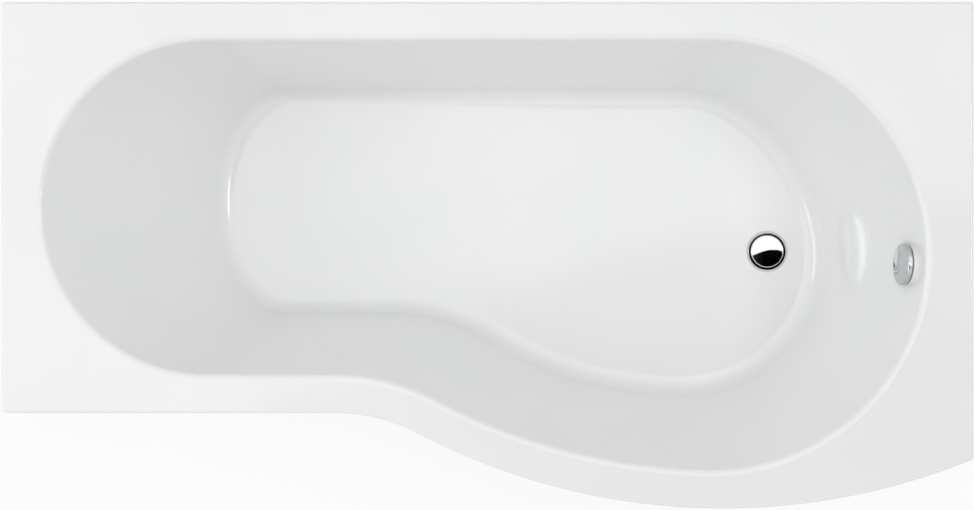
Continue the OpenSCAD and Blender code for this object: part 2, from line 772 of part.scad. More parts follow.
// Hub on three ribs that guides a shaft in the middle of a threaded neck, from z = 0 up
module spider(shaft_r) {
  difference() {
    linear_extrude(guide_h) {
      circle(r = shaft_r + guide_wall);
      for (a = [30 : 120 : 270]) rotate(a) translate([shaft_r + 1, -guide_rib_t / 2])
        square([neck_r - neck_wall / 2 - shaft_r - 1, guide_rib_t]);
    }
    translate([0, 0, -cut]) cylinder(r = shaft_r + run_gap, h = guide_h + 2 * cut);
  }
}
module waste_flange() {
  color("silver") at_waste(0) {
    rotate_extrude() polygon([
      [neck_r - neck_wall, neck_bottom_z], [neck_r, neck_bottom_z], [neck_r, upper_gasket_z - flare_h],
      [waste_hole_r - side_gap, upper_gasket_z], [flange_r, upper_gasket_z],
      [flange_r, upper_gasket_z + flange_t * 0.4], [flange_r - 0.6, flange_top_z - 0.5],
      [flange_r - 2, flange_top_z], [cone_top_r, flange_top_z],
      [cone_foot_r, cone_foot_z], [neck_r - neck_wall, cone_foot_z - 1]
    ]);
    translate([0, 0, guide_z]) spider(stem_r);
  }
}
module ring(z, r_in, r_out, h) {
  at_waste(z) difference() {
    cylinder(r = r_out, h = h);
    translate([0, 0, -cut]) cylinder(r = r_in, h = h + 2 * cut);
  }
}
module waste_upper_gasket() color("dimgray") ring(recess_z, waste_hole_r, flange_r - 1, gasket_t);
module waste_lower_gasket() color("dimgray") ring(body_top_z, waste_hole_r, body_flange_r, body_gasket_t);

// Frame of the lever's spindle: z out of the waste body from its middle, y up
module at_lever(out) {
  translate([lever_c.x, -out, lever_c.y]) rotate([90, 0, 0]) children();
}
module waste_body() {
  color("whitesmoke") at_waste(0) difference() {
    union() {
      rotate_extrude() polygon([
        [0, tail_top_z - tail_l], [tail_r, tail_top_z - tail_l], [tail_r, tail_top_z],
        [tail_r + 1.5, tail_top_z], [body_r, chamber_z], [body_r, body_top_z - body_flange_t - 3],
        [body_r + 3, body_top_z - body_flange_t], [body_flange_r, body_top_z - body_flange_t],
        [body_flange_r, body_top_z], [0, body_top_z]
      ]);
      translate([0, 0, inlet_z]) rotate([0, 90, 0]) cylinder(r = hose_r, h = inlet_l);
      at_lever(0) cylinder(r = bearing_r, h = lever_out);
    }
    translate([0, 0, chamber_z]) cylinder(r = chamber_r, h = guide_z - chamber_z);
    translate([0, 0, chamber_z]) cylinder(r = neck_r + run_gap, h = rim_z);
    translate([0, 0, tail_top_z - tail_l - cut]) cylinder(r = tail_r - tail_wall, h = rim_z);
    translate([0, 0, inlet_z]) rotate([0, 90, 0]) cylinder(r = hose_bore_r, h = inlet_l + cut);
    at_lever(0) cylinder(r = lever_r + run_gap, h = lever_out + cut);
  }
}

cap_z = flange_top_z + side_gap;
cap_t = 1.6;
carrier_r = neck_r - neck_wall - 0.5;
carrier_h = 3.6;
module plug_cap() {
  dome_r = (plug_r * plug_r + plug_dome_h * plug_dome_h) / (2 * plug_dome_h);
  dome_turn = asin((plug_r - 0.4) / dome_r);
  color("silver") at_waste(cap_z) difference() {
    rotate_extrude() polygon(concat(
      [[0, -carrier_h], [carrier_r, -carrier_h], [carrier_r, 0]],
      [[plug_r - 0.6, 0], [plug_r, 0.5], [plug_r, cap_t - 0.4]],
      [for (i = [0 : 12]) let (a = dome_turn * (1 - i / 12))
        [i == 12 ? 0 : dome_r * sin(a), cap_t + plug_dome_h - dome_r * (1 - cos(a))]]
    ));
    translate([0, 0, -carrier_h - cut]) cylinder(r = stem_r, h = carrier_h + cut);
  }
}
// Rubber ring round the cap's carrier, parallel to the cone that it closes on
seal_gap = 0.5;
seal_z = cap_z - carrier_h + 0.4;
seal_edge_z = flange_top_z - 0.7;
function seal_r(z) =
  cone_foot_r - seal_gap + (cone_top_r - cone_foot_r) * (z - cone_foot_z) / (flange_top_z - cone_foot_z);
module plug_seal() {
  color("dimgray") at_waste(0) rotate_extrude() polygon([
    [carrier_r, seal_z], [seal_r(seal_z), seal_z], [seal_r(seal_edge_z), seal_edge_z],
    [seal_r(seal_edge_z), cap_z], [carrier_r, cap_z]
  ]);
}
module plug_stem() {
  color("goldenrod") at_waste(stem_bottom_z) cylinder(r = stem_r, h = cap_z - stem_bottom_z);
}
// Rocker arm under the stem, its spindle out through the body, and the crank on its end
module lift_lever() {
  color("goldenrod") at_waste(0) at_lever(0) rotate(-arm_swing) {
    translate([0, 0, -arm_w / 2]) linear_extrude(arm_w) {
      translate([0, -arm_t / 2]) square([arm_l, arm_t]);
      translate([arm_l, 0]) circle(r = arm_end_r);
      circle(r = lever_r + 1.5);
    }
    cylinder(r = lever_r, h = lever_out + housing_wall + crank_gap);
    translate([0, 0, lever_out + housing_wall + crank_gap]) cylinder(r = crank_r, h = crank_h);
  }
}
// A closed cup round a crank, its open side towards z = 0, with the cable's gland
gland_l = 7;
module crank_housing(shaft_r, gland_turn) {
  difference() {
    union() {
      cylinder(r = housing_r, h = housing_h);
      rotate(gland_turn) translate([0, crank_r - cable_r, housing_h / 2]) rotate([0, 90, 0])
        cylinder(r = cable_r + 1.8, h = housing_r + gland_l);
    }
    translate([0, 0, housing_wall]) cylinder(r = crank_r + crank_gap, h = crank_h + 2 * crank_gap);
    translate([0, 0, -cut]) cylinder(r = shaft_r + run_gap, h = housing_wall + 2 * cut);
  }
}
module lever_housing() {
  color("darkslategray") at_waste(0) at_lever(lever_out) crank_housing(lever_r, 0);
}

// ---- overflow ----

overflow_gasket_t = 2 * gasket_t;
elbow_flange_t = 4.5;
elbow_flange_r = outer_seat_r - 2;
elbow_r = neck_r + 4;
elbow_wall = 3;
elbow_l = 26;
elbow_top = -seat_back - overflow_gasket_t;
elbow_back = elbow_top - elbow_flange_t - elbow_l;
spout_at = elbow_back + elbow_wall + hose_bore_r + 1;
spout_l = 54;
sleeve_flange_t = 1.5;
sleeve_flange_r = seat_r - 3;
sleeve_l = -elbow_top + elbow_flange_t - 1;
spider_in = 2;
knob_face_t = 2.5;
knob_wall = 2.5;
knob_round = 3;

module overflow_gasket() {
  color("dimgray") at_overflow() translate([0, 0, elbow_top]) difference() {
    cylinder(r = elbow_flange_r, h = overflow_gasket_t);
    translate([0, 0, -cut]) cylinder(r = overflow_hole_r, h = overflow_gasket_t + 2 * cut);
  }
}
module overflow_body() {
  color("whitesmoke") at_overflow() difference() {
    union() {
      translate([0, 0, elbow_top - elbow_flange_t]) cylinder(r = elbow_flange_r, h = elbow_flange_t);
      translate([0, 0, elbow_back]) cylinder(r = elbow_r, h = elbow_l + cut);
      translate([0, 0, spout_at]) rotate([0, -90, 0]) cylinder(r = hose_r, h = spout_l);
    }
    translate([0, 0, elbow_back + elbow_wall]) cylinder(r = neck_r + run_gap, h = -elbow_back);
    translate([0, 0, spout_at]) rotate([0, -90, 0]) cylinder(r = hose_bore_r, h = spout_l + cut);
    translate([0, 0, elbow_back - cut]) cylinder(r = spindle_r + run_gap, h = elbow_wall + 2 * cut);
  }
}
module overflow_sleeve() {
  color("gray") at_overflow() {
    rotate_extrude() polygon([
      [neck_r - neck_wall, -sleeve_l], [neck_r, -sleeve_l], [neck_r, 0], [sleeve_flange_r, 0],
      [sleeve_flange_r, sleeve_flange_t - 0.5], [sleeve_flange_r - 0.5, sleeve_flange_t],
      [neck_r - neck_wall, sleeve_flange_t]
    ]);
    translate([0, 0, -guide_h - spider_in]) spider(spindle_r);
  }
}
// Hollow cover with a rounded edge, and a finger dimple that shows how far it is turned
knob_crown = 1;
knob_hub_l = knob_gap + knob_h - sleeve_flange_t - 2;
dimple_turn = 206;
dimple_at = 28;
dimple_r = 3;
module overflow_knob() {
  shoulder = knob_h - knob_crown;
  flat_r = knob_r - knob_round;
  color("silver") at_overflow() translate([0, 0, knob_gap]) difference() {
    union() {
      rotate_extrude() polygon(concat(
        [[0, shoulder - knob_face_t], [knob_r - knob_wall, shoulder - knob_face_t]],
        [[knob_r - knob_wall, 0], [knob_r, 0]],
        [for (a = [0 : 15 : 90]) [flat_r + knob_round * cos(a), shoulder - knob_round * (1 - sin(a))]],
        [for (i = [1 : 6]) let (t = i / 6) [flat_r * (1 - t), shoulder + knob_crown * t * (2 - t)]]
      ));
      translate([0, 0, shoulder - knob_hub_l]) cylinder(r = spindle_r + guide_wall, h = knob_hub_l - cut);
    }
    translate([0, 0, -knob_h]) cylinder(r = spindle_r, h = knob_h + shoulder - knob_face_t + cut);
    rotate(dimple_turn) translate([dimple_at, 0, shoulder + dimple_r / 2]) sphere(r = dimple_r);
  }
}
module knob_spindle() {
  top = knob_gap + knob_h - knob_crown - knob_face_t + cut;
  bottom = elbow_back - housing_wall - crank_gap;
  color("goldenrod") at_overflow() {
    translate([0, 0, bottom]) cylinder(r = spindle_r, h = top - bottom);
    translate([0, 0, bottom - crank_h]) cylinder(r = crank_r, h = crank_h);
  }
}
module spindle_housing() {
  color("darkslategray") at_overflow() translate([0, 0, elbow_back]) mirror([0, 0, 1])
    crank_housing(spindle_r, 180);
}

// ---- hose and cable ----

// A run in one upright plane: straight, one bend of radius r, straight; y goes over smoothly.
// It leaves p level towards +X and comes into q at the lean of the overflow.
slope_in = [sin(overflow_lean), cos(overflow_lean)];
function run_corner(p, q) = [q.x - (q.z - p.z) * slope_in.x / slope_in.y, p.z];
run_turn = 90 - overflow_lean;
function run_lengths(p, q, r) =
  let (k = run_corner(p, q), t = r * tan(run_turn / 2), c = r * run_turn * PI / 180)
  [k.x - p.x - t, c, (q.z - p.z) / slope_in.y - t];
function run_at(p, q, r, s) =
  let (
    l = run_lengths(p, q, r),
    b = min(max(s - l[0], 0), l[1]),
    turn = b / r * 180 / PI,
    after = max(s - l[0] - l[1], 0),
    t = s / (l[0] + l[1] + l[2])
  )
  [
    p.x + min(s, l[0]) + r * sin(turn) + after * slope_in.x,
    mix(p.y, q.y, t * t * (3 - 2 * t)),
    p.z + r * (1 - cos(turn)) + after * slope_in.y
  ];
function run_ring(p, q, r, s, radius, sides) =
  let (
    total = run_lengths(p, q, r) * [1, 1, 1],
    h = 0.01,
    at = run_at(p, q, r, s),
    ahead = s + h > total ? at - run_at(p, q, r, s - h) : run_at(p, q, r, s + h) - at,
    u = unit([ahead.x, 0, ahead.z]),
    side = [0, 1, 0],
    up = cross(u, side)
  )
  [for (i = [0 : sides - 1])
    let (a = 360 * (i + 0.5) / sides) at + radius * (side * cos(a) + up * sin(a))];

// Triangles between rings of m points each, from ring i to ring j
function band(i, j, m) = [for (k = [0 : m - 1])
  let (a = i * m + k, b = i * m + (k + 1) % m, c = j * m + (k + 1) % m, d = j * m + k)
  each [[a, b, c], [a, c, d]]];

// Skin over a row of rings: closed in a loop for a tube with a bore, or with a cap at each end
module tube_skin(rings) {
  n = len(rings);
  m = len(rings[0]);
  polyhedron(
    points = [for (r = rings) each r],
    faces = [for (i = [0 : n - 1]) each band(i, (i + 1) % n, m)],
    convexity = 6
  );
}
module rod_skin(rings) {
  n = len(rings);
  m = len(rings[0]);
  polyhedron(
    points = [for (r = rings) each r],
    faces = concat(
      [for (i = [0 : n - 2]) each band(i, i + 1, m)],
      [[for (k = [m - 1 : -1 : 0]) k], [for (k = [0 : m - 1]) (n - 1) * m + k]]
    ),
    convexity = 6
  );
}

hose_sides = 8;
cuff_l = 22;
hose_bend_r = 58;
rib_d = 1.6;
bore_step = 18;
hose_start = [waste_c.x + inlet_l, waste_c.y, inlet_z];
hose_end = from_overflow([-spout_l, 0, spout_at]);
module overflow_hose() {
  total = run_lengths(hose_start, hose_end, hose_bend_r) * [1, 1, 1];
  ribs = floor((total - 2 * cuff_l) / rib_pitch);
  first = (total - ribs * rib_pitch) / 2;
  bore_n = ceil(total / bore_step);
  function loop(s, r) = run_ring(hose_start, hose_end, hose_bend_r, s, r, hose_sides);
  root_r = hose_r - rib_d;
  bore_r = hose_bore_r / cos(180 / hose_sides);
  color("lightgray") tube_skin(concat(
    [loop(0, root_r), loop(first, root_r)],
    [for (i = [0 : ribs - 1])
      each [loop(first + (i + 0.5) * rib_pitch, hose_r), loop(first + (i + 1) * rib_pitch, root_r)]],
    [loop(total, root_r)],
    [for (i = [bore_n : -1 : 0]) loop(total * i / bore_n, bore_r)]
  ));
}
nut_l = 24;
nut_grip_in = 2;
hose_nut_r = hose_r + 3.5;
module hose_nut() {
  difference() {
    union() {
      cylinder(r = hose_nut_r - 1, h = nut_l);
      translate([0, 0, nut_grip_in]) cylinder(r = hose_nut_r, h = nut_l - 2 * nut_grip_in, $fn = 12);
    }
    translate([0, 0, -cut]) cylinder(r = hose_r + side_gap / 2, h = nut_l + 2 * cut);
  }
}
module lower_hose_nut() {
  color("white") translate(hose_start - [nut_l / 2, 0, 0]) rotate([0, 90, 0]) hose_nut();
}
module upper_hose_nut() {
  color("white") at_overflow() translate([-spout_l + nut_l / 2, 0, spout_at]) rotate([0, -90, 0])
    hose_nut();
}

cable_sides = 8;
cable_bend_r = 80;
cable_step = 12;
cable_start = [waste_c.x + lever_c.x, waste_c.y - lever_out, lever_c.y]
  + [housing_r + gland_l, -housing_h / 2, crank_r - cable_r];
cable_end = from_overflow([-housing_r - gland_l, cable_r - crank_r, elbow_back - housing_h / 2]);
module control_cable() {
  total = run_lengths(cable_start, cable_end, cable_bend_r) * [1, 1, 1];
  n = ceil(total / cable_step);
  color("black") rod_skin([for (i = [0 : n])
    run_ring(cable_start, cable_end, cable_bend_r, total * i / n, cable_r, cable_sides)]);
}

bath_shell();
baseboard();
back_batten();
head_batten();
foot_batten();
front_batten();
bulge_batten();
head_rail();
foot_rail();
centre_plate();
rail_nuts();
rail_screws();
plate_screws();
head_wall_stud();
head_front_stud();
foot_wall_stud();
foot_front_stud();
centre_stud();
head_wall_foot();
head_front_foot();
foot_wall_foot();
foot_front_foot();
centre_foot();
head_wall_bracket();
foot_wall_bracket();
bracket_screws();
waste_flange();
waste_upper_gasket();
waste_lower_gasket();
waste_body();
plug_cap();
plug_seal();
plug_stem();
lift_lever();
lever_housing();
overflow_gasket();
overflow_body();
overflow_sleeve();
overflow_knob();
knob_spindle();
spindle_housing();
overflow_hose();
upper_hose_nut();
lower_hose_nut();
control_cable();
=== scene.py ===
"""P shaped shower bath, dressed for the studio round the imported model.

Sizes are in millimetres and become metres where a mesh is made. +X is the showering end, +Y the wall.
"""
import math

import bpy
from mathutils import Matrix, Vector


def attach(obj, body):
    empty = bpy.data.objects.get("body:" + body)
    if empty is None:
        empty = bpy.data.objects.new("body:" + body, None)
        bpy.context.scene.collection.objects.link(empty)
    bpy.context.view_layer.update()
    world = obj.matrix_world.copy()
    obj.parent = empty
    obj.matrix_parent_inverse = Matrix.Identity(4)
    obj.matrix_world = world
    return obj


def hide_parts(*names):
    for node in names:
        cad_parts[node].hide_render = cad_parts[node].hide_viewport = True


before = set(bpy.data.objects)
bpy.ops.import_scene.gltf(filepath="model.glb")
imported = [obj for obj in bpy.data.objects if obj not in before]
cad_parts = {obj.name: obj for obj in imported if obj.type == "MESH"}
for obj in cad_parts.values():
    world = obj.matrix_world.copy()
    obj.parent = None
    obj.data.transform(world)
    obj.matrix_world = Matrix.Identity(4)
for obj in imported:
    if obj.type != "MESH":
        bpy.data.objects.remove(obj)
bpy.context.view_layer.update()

MM = 0.001

# The studio: a straight-down product shot from four metres above the rim, on white paper. A white
# tent and a wide lamp overhead light the bath evenly, and a softbox beyond each end draws the bright
# lines along the coves.


def hex_colour(code):
    """An sRGB hex colour as linear RGBA."""
    parts = [int(code[i : i + 2], 16) / 255 for i in (1, 3, 5)]
    linear = [c / 12.92 if c <= 0.04045 else ((c + 0.055) / 1.055) ** 2.4 for c in parts]
    return (*linear, 1.0)


def add_node(tree, kind, feeds=None, stops=(), **settings):
    """Adds a node with its settings. feeds maps an input to a value or to the output that drives it,
    and stops are a colour ramp's (place, hex colour)."""
    made = tree.nodes.new(kind)
    for name, value in settings.items():
        setattr(made, name, value)
    for _ in stops[2:]:
        made.color_ramp.elements.new(0.5)
    for element, (place, code) in zip(made.color_ramp.elements if stops else (), stops):
        element.position, element.color = place, hex_colour(code)
    for name, value in (feeds or {}).items():
        socket = made.inputs[name]
        if isinstance(value, bpy.types.NodeSocket):
            tree.links.new(value, socket)
        else:
            socket.default_value = value
    return made


RIM_LEVEL, CAMERA_ABOVE_RIM, PHOTO_W, PIXEL_W = 545, 4000, 974, 1.696
WHITE = hex_colour("#FFFFFF")

bpy.ops.object.select_all(action="DESELECT")
bpy.ops.object.camera_add(
    location=(-0.8 * MM, 0.4 * MM, (RIM_LEVEL + CAMERA_ABOVE_RIM) * MM), rotation=(0, 0, 0)
)
camera = bpy.context.object
camera.name = "overhead_camera"
camera.data.sensor_width = 36
camera.data.lens = camera.data.sensor_width * CAMERA_ABOVE_RIM / (PHOTO_W * PIXEL_W)
camera.data.clip_end = 30
bpy.context.scene.camera = camera
bpy.context.scene.view_settings.view_transform = "Standard"

TENT_LEVEL, PAPER_SHARE, CARD_LEVEL = 0.64, 0.87, 1.45


def seen_by(tree, *rays):
    """1 where one of these kinds of ray arrives, for a white that lights nothing."""
    path = add_node(tree, "ShaderNodeLightPath")
    seen = path.outputs[rays[0]]
    for ray in rays[1:]:
        seen = add_node(tree, "ShaderNodeMath", {0: seen, 1: path.outputs[ray]}, operation="MAXIMUM")
        seen = seen.outputs[0]
    return seen


world = bpy.data.worlds.new("white_tent")
world.use_nodes = True
bpy.context.scene.world = world
tree = world.node_tree
tree.nodes.clear()
tent = add_node(tree, "ShaderNodeBackground", {"Color": WHITE, "Strength": TENT_LEVEL})
bright = add_node(tree, "ShaderNodeBackground", {"Color": WHITE, "Strength": 1.0})
seen = seen_by(tree, "Is Camera Ray", "Is Glossy Ray", "Is Transmission Ray")
both = add_node(tree, "ShaderNodeMixShader", {0: seen, 1: tent.outputs[0], 2: bright.outputs[0]})
add_node(tree, "ShaderNodeOutputWorld", {"Surface": both.outputs[0]})


def softbox(name, place, aim, size, power):
    """A rectangular lamp that faces the point aim."""
    bpy.ops.object.light_add(type="AREA", location=place)
    lamp = bpy.context.object
    lamp.name = name
    lamp.data.shape = "RECTANGLE"
    lamp.data.size, lamp.data.size_y = size
    lamp.data.energy = power
    lamp.rotation_euler = (Vector(aim) - Vector(place)).to_track_quat("-Z", "Y").to_euler()
    return lamp


softbox("head_softbox", place=(-3.4, -0.35, 2.5), aim=(0.5, 0, 0.3), size=(2.4, 1.05), power=26)
softbox("foot_softbox", place=(2.72, 0.15, 4.1), aim=(-0.4, 0.1, 0.2), size=(0.8, 0.55), power=14)
top = softbox("top_softbox", place=(-0.1, 0.1, 4.9), aim=(0, 0, 0), size=(2.6, 1.8), power=41)
top.visible_glossy = False

PAPER_W = 24
bpy.ops.mesh.primitive_plane_add(size=PAPER_W, location=(0, 0, 0))
paper = bpy.context.object
paper.name = "paper_floor"
# White background paper: matt, with the camera's white mixed in so that it stays white and keeps
# the bath's soft shadow. It is clear from below, so that the bath's underside can be seen.
tree = bpy.data.materials.new("background_paper")
paper.data.materials.append(tree)
tree.use_nodes = True
tree = tree.node_tree
tree.nodes.clear()
matt = add_node(tree, "ShaderNodeBsdfDiffuse", {"Color": hex_colour("#F6F6F6"), "Roughness": 0.9})
glow = add_node(tree, "ShaderNodeEmission", {"Color": WHITE, "Strength": 1.0})
share = add_node(
    tree, "ShaderNodeMath", {0: seen_by(tree, "Is Camera Ray", "Is Glossy Ray"), 1: PAPER_SHARE},
    operation="MULTIPLY",
)
sheet = add_node(
    tree, "ShaderNodeMixShader", {0: share.outputs[0], 1: matt.outputs[0], 2: glow.outputs[0]}
)
under = add_node(tree, "ShaderNodeNewGeometry").outputs["Backfacing"]
clear = add_node(tree, "ShaderNodeBsdfTransparent")
sheet = add_node(tree, "ShaderNodeMixShader", {0: under, 1: sheet.outputs[0], 2: clear.outputs[0]})
add_node(tree, "ShaderNodeOutputMaterial", {"Surface": sheet.outputs[0]})

# A white card and a black cloth hang over the bath, side by side. They are only there for the
# chrome to reflect, so neither the camera nor the bath's own light sees them.


def hang(name, corner, size, z):
    """A level sheet on the stage that shows in reflections alone; returns its material's node tree."""
    bpy.ops.mesh.primitive_plane_add(
        size=1, location=(corner[0] + size[0] / 2, corner[1] + size[1] / 2, z)
    )
    made = bpy.context.object
    made.name = name
    made.scale = (*size, 1)
    bpy.ops.object.transform_apply(location=True, rotation=False, scale=True)
    made.visible_camera = made.visible_diffuse = made.visible_shadow = False
    material = bpy.data.materials.new(name)
    made.data.materials.append(material)
    material.use_nodes = True
    material.node_tree.nodes.clear()
    return material.node_tree


CARD_Z, CLOTH_Z = 4.4, 4.3
CLOTH_CUTS = (((-0.39, -0.36), (-0.4, 1)), ((0.5, 0), (-0.25, 1)), ((2, 0.17), (0.24, 1)))

tree = hang("white_card", (-2.4, -0.6), (7.2, 4.4), CARD_Z)
glow = add_node(tree, "ShaderNodeEmission", {"Color": WHITE, "Strength": CARD_LEVEL})
add_node(tree, "ShaderNodeOutputMaterial", {"Surface": glow.outputs[0]})

tree = hang("black_cloth", (-0.75, -1.65), (3.65, 1.82), CLOTH_Z)
where = add_node(tree, "ShaderNodeTexCoord").outputs["Object"]
along = add_node(tree, "ShaderNodeSeparateXYZ", {0: where}).outputs["X"]
# Painted sheen: the cloth is dark grey at its -X end and turns black by X = 0.6 m, a lighter patch for
# the chrome to mirror.
painted_sheen = add_node(tree, "ShaderNodeValToRGB", {"Fac": along}, ((0.0, "#2E2E2E"), (0.6, "#060606")))
matt = add_node(tree, "ShaderNodeBsdfDiffuse", {"Color": painted_sheen.outputs[0], "Roughness": 1.0})
add_node(tree, "ShaderNodeOutputMaterial", {"Surface": matt.outputs[0]})
bpy.ops.object.mode_set(mode="EDIT")
for point, outward in CLOTH_CUTS:
    bpy.ops.mesh.select_all(action="SELECT")
    bpy.ops.mesh.bisect(plane_co=(*point, 0), plane_no=(*outward, 0), clear_outer=True)
bpy.ops.object.mode_set(mode="OBJECT")

# bath_shell. One sheet of white sanitary acrylic, heated and drawn by vacuum over a mould, so that
# every edge is a soft roll, then sprayed on its hidden side with glass fibre in resin. The skin is
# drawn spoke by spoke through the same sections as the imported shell, with finer steps.

BATH_L, WIDE_W, NARROW_W, BATH_H = 1650.0, 860.0, 698.0, 545.0
WELL_DEPTH, SHELL_T = 395.0, 7.0
END_X, BACK_Y = BATH_L / 2, WIDE_W / 2
NARROW_Y, WIDE_Y = BACK_Y - NARROW_W, -BACK_Y
RIM_Z, FLOOR_Z = BATH_H, BATH_H - WELL_DEPTH
BASE_Z = FLOOR_Z - SHELL_T
CROWN_X, CURVE_X, BULGE_R = END_X - 425, END_X - 1083, 1120.0
RIM_W, HEAD_RIM_W, FOOT_RIM_W = 64.0, 66.5, 79.0
LIP_H, LIP_T, EDGE_R, MOUTH_R = 30.0, 5.0, 5.0, 13.0
HEAD_CORNER_R, FOOT_CORNER_R = 9.0, 6.0
COVE_R, HEAD_COVE_R, FLOOR_FALL = 38.0, 50.0, 8.0
WASTE = (END_X - 304, 7.0)


def rad(a):
    return math.radians(a)


def mix(a, b, t):
    return a + (b - a) * t


def steps(a, b, n):
    return [mix(a, b, i / n) for i in range(n)]


def between(a, b, n):
    return [mix(a, b, i / (n + 1)) for i in range(1, n + 1)]


def on_circle(c, r, a):
    return Vector((c[0] + r * math.cos(rad(a)), c[1] + r * math.sin(rad(a))))


def on_oval(c, size, a, power):
    def part(v):
        return math.copysign(abs(v) ** (2 / power), v)

    return Vector((c[0] + size[0] * part(math.cos(rad(a))), c[1] + size[1] * part(math.sin(rad(a)))))


def s_radii(d, e):
    """The radii's sum of two arcs that join two levels in one S curve."""
    return (d * d + e * e) / (2 * e)


def ray_to_circle(c, a, m, r):
    u = Vector((math.cos(rad(a)), math.sin(rad(a))))
    w = Vector(c) - Vector(m)
    b = w.dot(u)
    return Vector(c) + u * (math.sqrt(max(b * b - w.dot(w) + r * r, 0)) - b)


crown = Vector((CROWN_X, WIDE_Y + BULGE_R))
s_sum = s_radii(CROWN_X - CURVE_X, NARROW_Y - WIDE_Y)
s_turn = math.degrees(math.asin((CROWN_X - CURVE_X) / s_sum))
hollow_r = s_sum - BULGE_R
hollow = Vector((CURVE_X, NARROW_Y - hollow_r))
mouth_back_y = BACK_Y - RIM_W
mouth_bulge_r = BULGE_R - RIM_W
head_r = NARROW_W / 2 - RIM_W
head_c = Vector((-END_X + HEAD_RIM_W + head_r, mouth_back_y - head_r))
along, across = END_X - FOOT_RIM_W - crown.x, crown.y - mouth_back_y
foot_k = mouth_bulge_r + across - along
foot_r = math.sqrt(foot_k**2 + mouth_bulge_r**2 - along**2 - across**2) - foot_k
foot_c = Vector((END_X - FOOT_RIM_W - foot_r, mouth_back_y - foot_r))
foot_start = 360 + math.degrees(math.atan2(foot_c.y - crown.y, foot_c.x - crown.x))

floor_back_y, floor_front_y, floor_wide_y = BACK_Y - 128, NARROW_Y + 168, WIDE_Y + 178
floor_head_x, floor_foot_x = -END_X + 337, END_X - 210
HEAD_OVAL_L, FOOT_OVAL_L = 128.0, 255.0
floor_head_c = Vector((floor_head_x + HEAD_OVAL_L, (floor_back_y + floor_front_y) / 2))
floor_head_w = (floor_back_y - floor_front_y) / 2
floor_foot_c = Vector((floor_foot_x - FOOT_OVAL_L, foot_c.y))
floor_curve_x, FLOOR_HOLLOW_R, FOOT_BACK_POWER = END_X - 995, 330.0, 1.8
floor_along = floor_foot_c.x - floor_curve_x
floor_sum = s_radii(floor_along, floor_front_y - floor_wide_y)
floor_turn = math.degrees(math.asin(floor_along / floor_sum))
floor_bulge_r = floor_sum - FLOOR_HOLLOW_R
floor_slope = FLOOR_FALL / (WASTE[0] - floor_head_x)

BACK_N, END_N, CORNER_N, FRONT_N, HOLLOW_N, BULGE_N = 48, 26, 10, 18, 26, 34


def corner(d, at_foot, at_back):
    """Centre and radius of a corner of the rim, drawn in by d."""
    r = max((FOOT_CORNER_R if at_foot else HEAD_CORNER_R) - d, 0.4)
    x = END_X - d - r if at_foot else -END_X + d + r
    if at_back:
        y = BACK_Y - d - r
    elif at_foot:
        y = crown.y - math.sqrt((BULGE_R - d - r) ** 2 - (x - crown.x) ** 2)
    else:
        y = NARROW_Y + d + r
    return Vector((x, y)), r


def seen_from(c, place, a, b, turns=0):
    """Bearings from c of points on a corner's arc, so that spokes meet it evenly."""
    out = []
    for i in range(CORNER_N):
        p = on_circle(*place, mix(a, b, i / (CORNER_N - 1))) - c
        out.append(math.degrees(math.atan2(p.y, p.x)) % 360 + 360 * turns)
    return out


foot_front = corner(0, True, False)
ff_turn = math.degrees(math.atan2(foot_front[0].y - crown.y, foot_front[0].x - crown.x))
hb = seen_from(head_c, corner(0, False, True), 90, 180)
hf = seen_from(head_c, corner(0, False, False), 180, 270)
ff = seen_from(foot_c, foot_front, ff_turn, 0)
fb = seen_from(foot_c, corner(0, True, True), 0, 90, 1)
head_angles = steps(90, hb[0], END_N) + hb + between(hb[-1], hf[0], 2 * END_N) + hf
head_angles += between(hf[-1], 270, END_N)
foot_angles = steps(foot_start, ff[0], END_N) + ff + between(ff[-1], fb[0], 2 * END_N) + fb
foot_angles += between(fb[-1], 450, END_N)


def head_rim(a, d):
    c, s = math.cos(rad(a)), math.sin(rad(a))
    (b, br), (f, fr) = corner(d, False, True), corner(d, False, False)
    if a < 180 and head_c.x + (BACK_Y - d - head_c.y) * c / s > b.x:
        return Vector((head_c.x + (BACK_Y - d - head_c.y) * c / s, BACK_Y - d))
    if a > 180 and head_c.x + (NARROW_Y + d - head_c.y) * c / s > f.x:
        return Vector((head_c.x + (NARROW_Y + d - head_c.y) * c / s, NARROW_Y + d))
    end = Vector((-END_X + d, head_c.y + (-END_X + d - head_c.x) * s / c))
    if end.y > b.y:
        return ray_to_circle(head_c, a, b, br)
    return ray_to_circle(head_c, a, f, fr) if end.y < f.y else end


def foot_rim(a, d):
    c, s = math.cos(rad(a)), math.sin(rad(a))
    (f, fr), (b, br) = corner(d, True, False), corner(d, True, True)
    if a < 360:
        bulge = ray_to_circle(foot_c, a, crown, BULGE_R - d)
        if bulge.x < (crown + (BULGE_R - d) * (f - crown).normalized()).x:
            return bulge
    elif foot_c.x + (BACK_Y - d - foot_c.y) * c / s < b.x and s > 1e-6:
        return Vector((foot_c.x + (BACK_Y - d - foot_c.y) * c / s, BACK_Y - d))
    end = Vector((END_X - d, foot_c.y + (END_X - d - foot_c.x) * s / c))
    if a < 360 and end.y < f.y:
        return ray_to_circle(foot_c, a, f, fr)
    return ray_to_circle(foot_c, a, b, br) if a > 360 and end.y > b.y else end


def rim_outline(d):
    return (
        [Vector((x, BACK_Y - d)) for x in steps(foot_c.x, head_c.x, BACK_N)]
        + [head_rim(a, d) for a in head_angles]
        + [Vector((x, NARROW_Y + d)) for x in steps(head_c.x, hollow.x, FRONT_N)]
        + [on_circle(hollow, hollow_r + d, a) for a in steps(90, 90 - s_turn, HOLLOW_N)]
        + [on_circle(crown, BULGE_R - d, a) for a in steps(270 - s_turn, foot_start, BULGE_N)]
        + [foot_rim(a, d) for a in foot_angles]
    )


